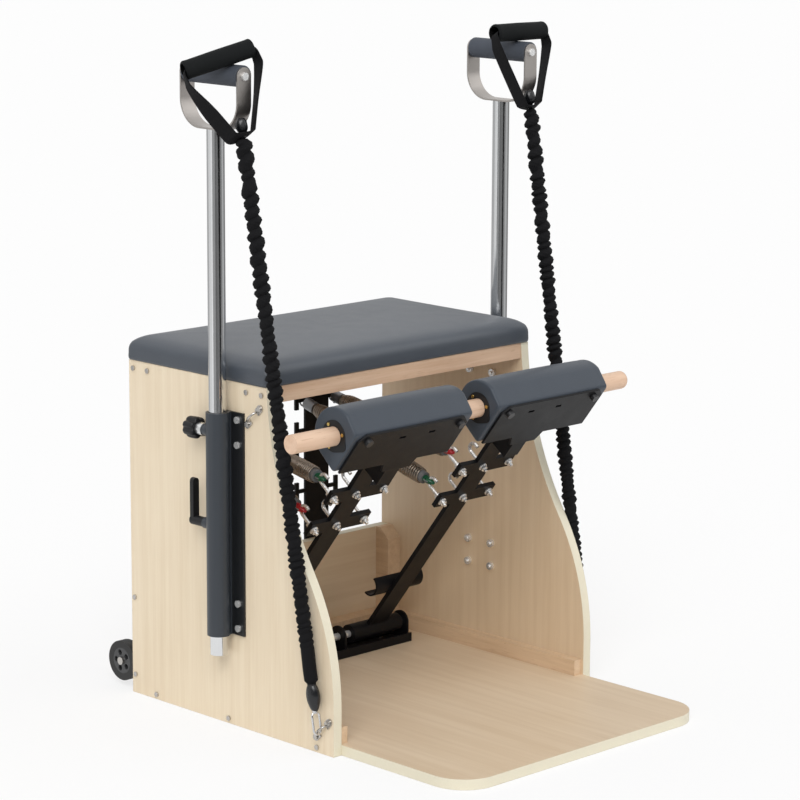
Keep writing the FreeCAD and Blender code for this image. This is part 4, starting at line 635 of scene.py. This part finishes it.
# Strap handles: webbing through a foam grip, down to a flat foot that the cord passes through
strap = {"post": (0.339, 0.1415, 1.024), "gripRise": 0.091, "apart": 0.0343, "forward": 0.0395,
         "footForward": 0.084, "footDrop": 0.004, "footHalf": 0.018, "footTurn": (0.004, 0.008),
         "width": 0.032, "narrow": 0.0185, "thick": 0.0026, "reach": 0.0641, "tuck": 0.04,
         "corner": (0.006, 0.004), "straight": (0.02, 0.03), "rounds": 3, "twistBy": 0.7,
         "turns": 16, "square": (0.25, 0.6),
         "left": {"shift": -0.028, "drop": -0.014, "yaw": -18, "tilt": 15.5,
                  "lead": (-12, -13), "twist": (28, 4)},
         "right": {"shift": 0.002, "drop": -0.012, "yaw": 0, "tilt": -0.5,
                   "lead": (-13, 8), "twist": (-11, 18)}}
strapGrip = {"half": 0.0625, "radius": 0.016, "bore": 0.0122, "edge": 0.004, "edgeSteps": 5, "waist": 0.0004,
             "rows": 24, "turns": 48}


def strapPost(sign):
    return Vector((sign * strap["post"][0], *strap["post"][1:]))


def strapFoot(side, sign):
    return strapPost(sign) + Vector((strap[side]["drop"], -strap["footForward"], -strap["footDrop"]))


def strapFrame(side, sign):
    # the grip's middle, its axis, the way down to the foot, and how far the foot is along both
    pose = strap[side]
    yaw, tilt = math.radians(pose["yaw"]), math.radians(pose["tilt"])
    along = Vector((math.cos(yaw) * math.cos(tilt), math.sin(yaw) * math.cos(tilt), math.sin(tilt)))
    lift = (strap["apart"] * math.hypot(along.x, along.z) + pose["shift"] * along.z) / along.x
    middle = strapPost(sign) + Vector((pose["shift"], -strap["forward"], strap["gripRise"] + lift))
    fall = strapFoot(side, sign) - middle
    offset = fall.dot(along)
    down = fall - along * offset
    return middle, along, down.normalized(), offset, down.length


def smoothed(points, rounds):
    # cuts the corners of a line, keeping its two ends
    for turn in range(rounds):
        fresh = [points[0]]
        for first, second in zip(points, points[1:]):
            fresh += [first.lerp(second, 0.25), first.lerp(second, 0.75)]
        points = fresh + [points[-1]]
    return points


def strapHalf(end, offset, depth):
    # from inside the grip, round its end and down to the foot
    reach, foot = end * strap["reach"], offset + end * strap["footHalf"]
    (inward, lower), (outward, raised) = strap["corner"], strap["footTurn"]
    route = [(end * strap["tuck"], 0), (reach - end * inward, 0), (reach, lower)]
    route += [(reach, drop) for drop in strap["straight"]]
    return route + [(foot + end * outward, depth - raised), (foot, depth)]


def makeStrap(side, sign):
    middle, along, down, offset, depth = strapFrame(side, sign)
    across = along.cross(down)
    half = strap["footHalf"]
    route = strapHalf(-1, offset, depth) + strapHalf(1, offset, depth)[::-1]
    line = smoothed([Vector((x, y, 0)) for x, y in route], strap["rounds"])
    length = sum((second - first).length for first, second in zip(line, line[1:]))
    rings = []
    for index, point in enumerate(line):
        before, after = line[max(index - 1, 0)], line[min(index + 1, len(line) - 1)]
        run = (after - before).normalized()
        outward = down * run.x - along * run.y
        wide = strap["narrow"] + (strap["width"] - strap["narrow"]) * clamped(point.y / strap["straight"][1])
        passed = clamped((point.x - offset + half) / (2 * half))
        lead, twist = (first + (second - first) * passed
                       for first, second in (strap[side]["lead"], strap[side]["twist"]))
        share = clamped(point.y / (strap["twistBy"] * depth))
        turned = math.radians(lead + (twist - lead) * share * share * (3 - 2 * share))
        broad = across * math.cos(turned) + outward * math.sin(turned)
        face = outward * math.cos(turned) - across * math.sin(turned)
        ring = []
        for angle in fullTurn(strap["turns"], 0.5):
            cosine, sine = math.cos(angle), math.sin(angle)
            u = math.copysign(abs(cosine) ** strap["square"][0], cosine) * wide / 2
            v = math.copysign(abs(sine) ** strap["square"][1], sine) * strap["thick"] / 2
            ring.append(middle + along * point.x + down * point.y + face * v + broad * u)
        rings.append(ring)
    band = outwards(loft(side + "Strap", rings, "webbing"))
    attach(band, side + "_post")
    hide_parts(side + "_strap")
    print("%s strap %.3f m" % (side, length))


def gripProfile():
    half, radius, bore, edge = (strapGrip[name] for name in ("half", "radius", "bore", "edge"))
    turns = [math.pi / 2 * step / strapGrip["edgeSteps"] for step in range(strapGrip["edgeSteps"] + 1)]
    rounding = [(half - edge * (1 - math.cos(turn)), radius - edge * (1 - math.sin(turn))) for turn in turns]
    profile = [(-half, bore)] + [(-x, reach) for x, reach in rounding]
    for step in range(1, strapGrip["rows"]):
        x = -half + edge + 2 * (half - edge) * step / strapGrip["rows"]
        profile.append((x, radius - strapGrip["waist"] * (1 - math.cos(math.pi * x / half)) / 2))
    profile += rounding[::-1] + [(half, bore)]
    return profile + [(half * share, bore) for share in (0.5, 0.0, -0.5)]


def makeGrip(side, sign):
    middle, along, down = strapFrame(side, sign)[:3]
    across = along.cross(down)
    rings = [ovalRing(middle + along * x, down, across, reach, reach, strapGrip["turns"])
             for x, reach in gripProfile()]
    grip = outwards(loft(side + "StrapGrip", rings, "foam", closed=True))
    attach(grip, side + "_post")
    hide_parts(side + "_strap_grip")


for side, sign in sides:
    makeStrap(side, sign)
    makeGrip(side, sign)
print("strap handles made")


# Cords: an elastic core in a gathered cover, taut from the snap hook's cuff to the strap's foot
cord = {"eye": (0.328, -0.093, 0.043), "eyeLean": math.radians(45), "wires": 0.0043, "bend": 0.008,
        "straight": 0.022, "swivel": 0.018, "cuff": 0.038, "clear": 0.0043, "diameter": 0.022, "guard": 6,
        "splineSteps": 40, "rowStep": 0.0011, "turns": 36, "knots": 90, "seed": 7,
        "core": 0.0085, "coreLow": 0.0012, "most": 0.0146, "pitch": 0.0122, "pitchGrows": 0.55,
        "pitchVaries": (0.62, 1.5), "wander": 1.1, "puff": 0.0062, "puffLow": 0.62, "puffVaries": (0.5, 1.2),
        "lobe": 0.85, "crease": 0.09, "plain": 0.070, "plainFade": 0.014, "sleeve": 0.0116, "ripple": 0.02,
        "tip": 0.0045, "tipShare": 0.35, "tipRun": 0.006}


def cordEnds(side, sign):
    foot = strapFoot(side, sign)
    eye = Vector((sign * cord["eye"][0], *cord["eye"][1:]))
    pull = (foot - eye).normalized()
    lifting = pull.dot(Vector((0, math.sin(cord["eyeLean"]), math.cos(cord["eyeLean"]))))
    low = eye + pull * (cord["bend"] - cord["wires"] / lifting)
    start = low + pull * (cord["straight"] + cord["swivel"] + cord["cuff"])
    return start, foot - pull * cord["clear"], pull, foot


def splineLine(name, points):
    curve = bpy.data.curves.new(name, "CURVE")
    curve.dimensions = "3D"
    curve.resolution_u = cord["splineSteps"]
    spline = curve.splines.new("NURBS")
    spline.points.add(len(points) - 1)
    for knot, point in zip(spline.points, points):
        knot.co = (*point, 1.0)
    spline.order_u = 3
    spline.use_endpoint_u = True
    carrier = bpy.data.objects.new(name, curve)
    mesh = bpy.data.meshes.new_from_object(carrier)
    line = np.array([vertex.co for vertex in mesh.vertices])
    bpy.data.meshes.remove(mesh)
    bpy.data.objects.remove(carrier)
    bpy.data.curves.remove(curve)
    return line


def coverReach(sign, places, length, angles):
    # gathers bulge to one side and then the other, closer together low on the cord
    draw = np.random.default_rng(cord["seed"] + sign)
    knots = np.linspace(0, length, cord["knots"])
    share = places / length

    def varied(low, high):
        return np.interp(places, knots, draw.uniform(low, high, len(knots)))

    pitch = cord["pitch"] * (1 + cord["pitchGrows"] * share ** 2) * varied(*cord["pitchVaries"])
    wander = varied(-cord["wander"], cord["wander"])
    phase = np.cumsum(2 * math.pi / pitch) * (places[1] - places[0]) + wander
    fullness = varied(*cord["puffVaries"])
    lobes = np.abs(np.cos((angles[None, :] - phase[:, None]) / 2)) ** cord["lobe"]
    creases = 1 + cord["crease"] * np.cos(5 * angles[None, :] + 3 * phase[:, None])
    core = cord["core"] + cord["coreLow"] * (1 - share) ** 2
    puff = cord["puff"] * (cord["puffLow"] + (1 - cord["puffLow"]) * share) * fullness
    gathered = core[:, None] + puff[:, None] * lobes * creases
    # the cover runs out smooth before the cuff, and is drawn in at both ends
    plain = np.clip((cord["plain"] - places) / cord["plainFade"], 0.0, 1.0)[:, None]
    smooth = cord["sleeve"] * (1 + cord["ripple"] * np.cos(3 * angles[None, :] + 90 * places[:, None]))
    reach = np.minimum(gathered + (smooth - gathered) * plain, cord["most"])
    taper = np.clip(np.minimum(places, length - places) / cord["tipRun"], 0.0, 1.0)[:, None]
    return cord["tip"] + (reach - cord["tip"]) * (cord["tipShare"] + (1 - cord["tipShare"]) * taper)


def makeCord(side, sign):
    start, end, pull, foot = cordEnds(side, sign)
    length = (end - start).length
    guard = cord["guard"] * cord["diameter"]
    route = [start, start + pull * guard, start.lerp(end, 0.5), end - pull * guard, end]
    line = splineLine(side + "Route", route)
    steps = np.concatenate([[0], np.cumsum(np.linalg.norm(np.diff(line, axis=0), axis=1))])
    places = np.linspace(0, steps[-1], int(steps[-1] / cord["rowStep"]))
    middle = np.stack([np.interp(places, steps, line[:, axis]) for axis in range(3)], axis=1)
    aside = pull.cross(Vector((0, 1, 0))).normalized()
    across = pull.cross(aside)
    angles = 2 * math.pi * np.arange(cord["turns"]) / cord["turns"]
    rings = []
    for center, row in zip(middle, coverReach(sign, places, length, angles)):
        rings.append([Vector(center) + (aside * math.cos(angle) + across * math.sin(angle)) * float(reach)
                      for angle, reach in zip(angles, row)])
    cover = outwards(loft(side + "Cord", rings, "cordCover"))
    stopper = makeStopper(side, foot + pull * cord["clear"], pull, aside, across)
    makeCuff(side, start, pull, aside, across)
    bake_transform(cover)
    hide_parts(side + "_cord")
    print("%s cord %.3f m" % (side, length))


# moulded cuff between the cover and the snap hook
cuffLook = {"long": 0.047, "wide": 0.0130, "flat": 0.0108, "rows": 16, "turns": 28, "begin": 0.1, "span": 0.84,
            "lean": 0.9, "blunt": 0.6}


def makeCuff(side, start, pull, aside, across):
    rings = []
    for step in range(cuffLook["rows"] + 1):
        share = step / cuffLook["rows"]
        turn = math.pi * (cuffLook["begin"] + cuffLook["span"] * share ** cuffLook["lean"])
        swell = math.sin(turn) ** cuffLook["blunt"]
        rings.append(ovalRing(start - pull * (cuffLook["long"] * share), aside, across,
                              cuffLook["flat"] * swell, cuffLook["wide"] * swell, cuffLook["turns"]))
    cuff = outwards(loft(side + "CordCuff", rings, "cuffRubber"))
    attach(cuff, "frame")


# wrapped stopper above the strap's foot
stopperLook = {"length": 0.026, "radius": 0.010, "neck": 0.0042, "tip": 0.0006, "rows": 12, "turns": 28,
               "begin": 0.12, "blunt": 0.7, "wrap": 0.05, "wraps": 5, "wrapLean": 240}


def makeStopper(side, seat, pull, aside, across):
    long, begin = stopperLook["length"], stopperLook["begin"]
    profile = [(-2 * cord["clear"], stopperLook["neck"]), (0.0, stopperLook["neck"])]
    for step in range(stopperLook["rows"] + 1):
        turn = math.pi * (begin + (1 - begin) * step / stopperLook["rows"])
        swell = stopperLook["radius"] * max(0.0, math.sin(turn)) ** stopperLook["blunt"]
        profile.append((long / 2 * (1 - math.cos(turn)), max(stopperLook["tip"], swell)))
    rings = []
    for lift, radius in profile:
        ring = []
        for angle in fullTurn(stopperLook["turns"]):
            ripple = math.cos(stopperLook["wraps"] * angle + stopperLook["wrapLean"] * lift)
            reach = radius * (1 + stopperLook["wrap"] * ripple)
            ring.append(seat + pull * lift + (aside * math.cos(angle) + across * math.sin(angle)) * reach)
        rings.append(ring)
    knot = outwards(loft(side + "CordStopper", rings, "cuffRubber"))
    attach(knot, side + "_post")
    return knot


for side, sign in sides:
    makeCord(side, sign)
print("cords made")


# Springs: wound wire from each pedal's hook to the rack, and each front end carries a coloured tag
spring = {"hookLeft": 0.052, "hookRadius": 0.009, "hookOut": -0.032, "ringSeat": 0.0099, "ring": 0.008,
          "rackShift": 0.024, "tabAside": 0.037, "tabY": 0.40, "tabHeight": 0.47,
          "wings": {"upper": 0.4475, "lower": 0.368}, "columns": {"upper": 1, "lower": -1},
          "wire": 0.0019, "wireTurns": 8, "pitch": 0.0050, "steps": 22,
          "full": 0.0136, "end": 0.0085, "front": 0.0125, "cover": 0.016, "taper": 0.03}
tagLook = {"long": 0.038, "wide": 0.0088, "thick": 0.0064, "rows": 14, "turns": 24, "onRing": 0.35, "back": 0.42,
           "begin": 0.03, "span": 0.94, "blunt": 0.55, "pinch": 0.22, "pinchAt": 0.55, "pinchRun": 0.12,
           "colors": {("left", "upper"): "greenTag", ("left", "lower"): "redTag",
                      ("right", "upper"): "redTag", ("right", "lower"): "greenTag"}}


def springEnds(sign, wing):
    arm = sign * pedal["arm"]
    hook = leaned(arm - spring["hookLeft"], spring["wings"][wing] + spring["hookRadius"], spring["hookOut"])
    column = spring["columns"][wing] * spring["tabAside"]
    return hook, Vector((arm - spring["rackShift"] + column, spring["tabY"], spring["tabHeight"]))


def makeTag(side, sign, wing):
    hook, tab = springEnds(sign, wing)
    axis = (tab - hook).normalized()
    upright = axis.cross(Vector((1, 0, 0))).normalized()
    across = axis.cross(upright)
    seat = hook + axis * (spring["ringSeat"] + tagLook["onRing"] * spring["ring"])
    rings = []
    for step in range(tagLook["rows"] + 1):
        share = step / tagLook["rows"]
        swell = math.sin(math.pi * (tagLook["begin"] + tagLook["span"] * share)) ** tagLook["blunt"]
        pinch = 1 - tagLook["pinch"] * math.exp(-((share - tagLook["pinchAt"]) / tagLook["pinchRun"]) ** 2)
        rings.append(ovalRing(seat + axis * (tagLook["long"] * (share - tagLook["back"])), across, upright,
                              tagLook["wide"] * swell * pinch, tagLook["thick"] * swell, tagLook["turns"]))
    tag = outwards(loft("%s%sTag" % (side, wing.title()), rings, tagLook["colors"][side, wing]))
    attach(tag, side + "_pedal")


def makeSpring(side, sign, wing):
    # close coils that narrow toward both fittings and are wound onto the front one
    name = "%s_%s_spring" % (side, wing)
    hook, tab = springEnds(sign, wing)
    axis = (tab - hook).normalized()
    aside = axis.cross(Vector((1, 0, 0))).normalized()
    across = axis.cross(aside)
    spans = [(vertex.co - hook).dot(axis) for vertex in nodes[name].data.vertices]
    near, far = min(spans) - spring["cover"], max(spans) - spring["wire"]
    total = int((far - near) / spring["pitch"]) * spring["steps"]
    rings = []
    for step in range(total + 1):
        turn = 2 * math.pi * step / spring["steps"]
        lift = near + (far - near) * step / total
        share = min(1.0, min(lift - near, far - lift) / spring["taper"])
        narrow = spring["front" if lift < (near + far) / 2 else "end"]
        radius = narrow + (spring["full"] - narrow) * share * (2 - share)
        out = aside * math.cos(turn) + across * math.sin(turn)
        center = hook + axis * lift + out * radius
        rings.append(ovalRing(center, out, axis, spring["wire"], spring["wire"], spring["wireTurns"]))
    wound = outwards(loft("%s%sSpring" % (side, wing.title()), rings, "springSteel"))
    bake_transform(wound)
    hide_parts(name)


for side, sign in sides:
    for wing in spring["wings"]:
        makeSpring(side, sign, wing)
        makeTag(side, sign, wing)
print("springs made")


# Pull knobs: pin, turned neck and a lobed grip; each row is a place on the axis, a radius and the lobes' depth
knob = {"middleX": 0.339, "middleZ": 0.514, "lobes": 7, "groove": 0.0034, "narrow": 2.5, "turns": 126,
        "sharp": 44,
        "rows": ((0.1568, 0.0040, 0.0), (0.1738, 0.0040, 0.0), (0.1738, 0.0110, 0.0), (0.1877, 0.0110, 0.0),
                 (0.1880, 0.0150, 0.35), (0.1886, 0.0168, 0.7), (0.1900, 0.0181, 0.95), (0.1925, 0.0188, 1.0),
                 (0.1990, 0.0190, 1.0), (0.2060, 0.0190, 1.0), (0.2095, 0.0186, 1.0), (0.2122, 0.0175, 0.9),
                 (0.2138, 0.0158, 0.6), (0.2146, 0.0136, 0.25), (0.2148, 0.0110, 0.0), (0.2148, 0.0070, 0.0))}


def makeKnob(side, sign):
    rings = []
    for place, radius, depth in knob["rows"]:
        ring = []
        for angle in fullTurn(knob["turns"]):
            dip = (0.5 - 0.5 * math.cos(knob["lobes"] * angle)) ** knob["narrow"]
            reach = radius - knob["groove"] * depth * dip
            ring.append(Vector((sign * knob["middleX"] + reach * math.cos(angle), place,
                                knob["middleZ"] + reach * math.sin(angle))))
        rings.append(ring)
    grip = outwards(loft(side + "PullKnob", rings, "knob"))
    grip.data.set_sharp_from_angle(angle=math.radians(knob["sharp"]))
    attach(grip, side + "_pull_knob")
    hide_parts(side + "_pull_knob")


for side, sign in sides:
    makeKnob(side, sign)
print("knobs made")


# Studio: a pale floor, soft light from the front left, and grey walls that only polished surfaces mirror
studio = {"floor": 40.0, "drop": 0.0003, "floorColor": (0.93, 0.93, 0.93), "shine": 0.72, "sky": 0.62,
          "key": {"from": (-0.75, -0.62, 0.85), "power": 1.55, "spread": 38},
          "fill": {"from": (0.8, -0.75, 0.55), "power": 0.45, "spread": 60},
          "walls": {"radius": 2.1, "height": 1.15, "facing": 225, "step": 4,
                    "bands": ((-180, -97, 0.50), (-97, -60, 0.80), (-60, -47, 1.0), (-47, -17, 0.36),
                              (-17, 0, 0.15), (0, 36, 0.19), (36, 52, 0.02), (52, 80, 0.24), (80, 118, 0.50),
                              (118, 180, 0.26))}}


def seenRays(base):
    total = 0.0
    for name in ("Is Camera Ray", "Is Glossy Ray", "Is Transmission Ray"):
        total = base.node("ShaderNodeLightPath", output=name) + total
    return base.maths("MINIMUM", total, 1.0)


def makeFloor():
    size = studio["floor"]
    corners = [(x * size, y * size, -studio["drop"]) for x, y in ((-1, -1), (1, -1), (1, 1), (-1, 1))]
    mesh = bpy.data.meshes.new("floor")
    mesh.from_pydata(corners, [], [(0, 1, 2, 3)])
    floor = bpy.data.objects.new("floor", mesh)
    scene.collection.objects.link(floor)
    material = bpy.data.materials.new("paleFloor")
    material.use_nodes = True
    tree = material.node_tree
    tree.nodes.clear()
    base = Value(tree)
    plain = base.node("ShaderNodeBsdfDiffuse", None, {"Color": tinted(studio["floorColor"])})
    glow = base.node("ShaderNodeEmission", None, {"Color": (1, 1, 1, 1), "Strength": 1.0})
    both = base.node("ShaderNodeMixShader", None, {0: seenRays(base) * studio["shine"], 1: plain, 2: glow})
    output = tree.nodes.new("ShaderNodeOutputMaterial")
    tree.links.new(both.socket, output.inputs["Surface"])
    mesh.materials.append(material)


def makeSky():
    world = bpy.data.worlds.new("studio")
    scene.world = world
    world.use_nodes = True
    tree = world.node_tree
    tree.nodes.clear()
    base = Value(tree)
    soft = base.node("ShaderNodeBackground", None, {"Color": (1, 1, 1, 1), "Strength": studio["sky"]})
    white = base.node("ShaderNodeBackground", None, {"Color": (1, 1, 1, 1), "Strength": 1.0})
    both = base.node("ShaderNodeMixShader", None, {0: seenRays(base), 1: soft, 2: white})
    output = tree.nodes.new("ShaderNodeOutputWorld")
    tree.links.new(both.socket, output.inputs["Surface"])


def makeLamp(name):
    part = studio[name]
    lamp = bpy.data.lights.new(name, "SUN")
    lamp.energy = part["power"]
    lamp.angle = math.radians(part["spread"])
    carrier = bpy.data.objects.new(name, lamp)
    carrier.rotation_mode = "QUATERNION"
    carrier.rotation_quaternion = Vector(part["from"]).to_track_quat("Z", "Y")
    scene.collection.objects.link(carrier)


def makeWalls():
    part = studio["walls"]
    for index, (first, last, grey) in enumerate(part["bands"]):
        glow = {"Base Color": (0, 0, 0, 1), "Specular IOR Level": 0.0,
                "Emission Color": (grey, grey, grey, 1), "Emission Strength": 1.0}
        steps = max(2, int((last - first) / part["step"]))
        points = []
        for step in range(steps + 1):
            turn = math.radians(part["facing"] + first + (last - first) * step / steps)
            for high in (0.0, part["height"]):
                points.append((part["radius"] * math.cos(turn), part["radius"] * math.sin(turn), high))
        faces = [(2 * step, 2 * step + 2, 2 * step + 3, 2 * step + 1) for step in range(steps)]
        mesh = bpy.data.meshes.new("wall%d" % index)
        mesh.from_pydata(points, [], faces)
        mesh.materials.append(finish("wall%d" % index, lambda base: glow))
        wall = bpy.data.objects.new("wall%d" % index, mesh)
        for rays in ("camera", "diffuse", "shadow", "transmission"):
            setattr(wall, "visible_" + rays, False)
        scene.collection.objects.link(wall)


camera = {"place": (-3.646, -3.671, 1.594), "yaw": -44.41, "pitch": 11.48, "roll": 0.29, "lens": 138.3,
          "sensor": 36.0}


def makeCamera():
    lens = bpy.data.cameras.new("camera")
    lens.lens = camera["lens"]
    lens.sensor_width = camera["sensor"]
    carrier = bpy.data.objects.new("camera", lens)
    turn = (Matrix.Rotation(math.radians(camera["yaw"]), 4, "Z")
            @ Matrix.Rotation(math.radians(90 - camera["pitch"]), 4, "X")
            @ Matrix.Rotation(math.radians(camera["roll"]), 4, "Z"))
    carrier.matrix_world = Matrix.Translation(camera["place"]) @ turn
    scene.collection.objects.link(carrier)
    scene.camera = carrier


makeFloor()
makeSky()
makeLamp("key")
makeLamp("fill")
makeWalls()
makeCamera()
print("studio made")
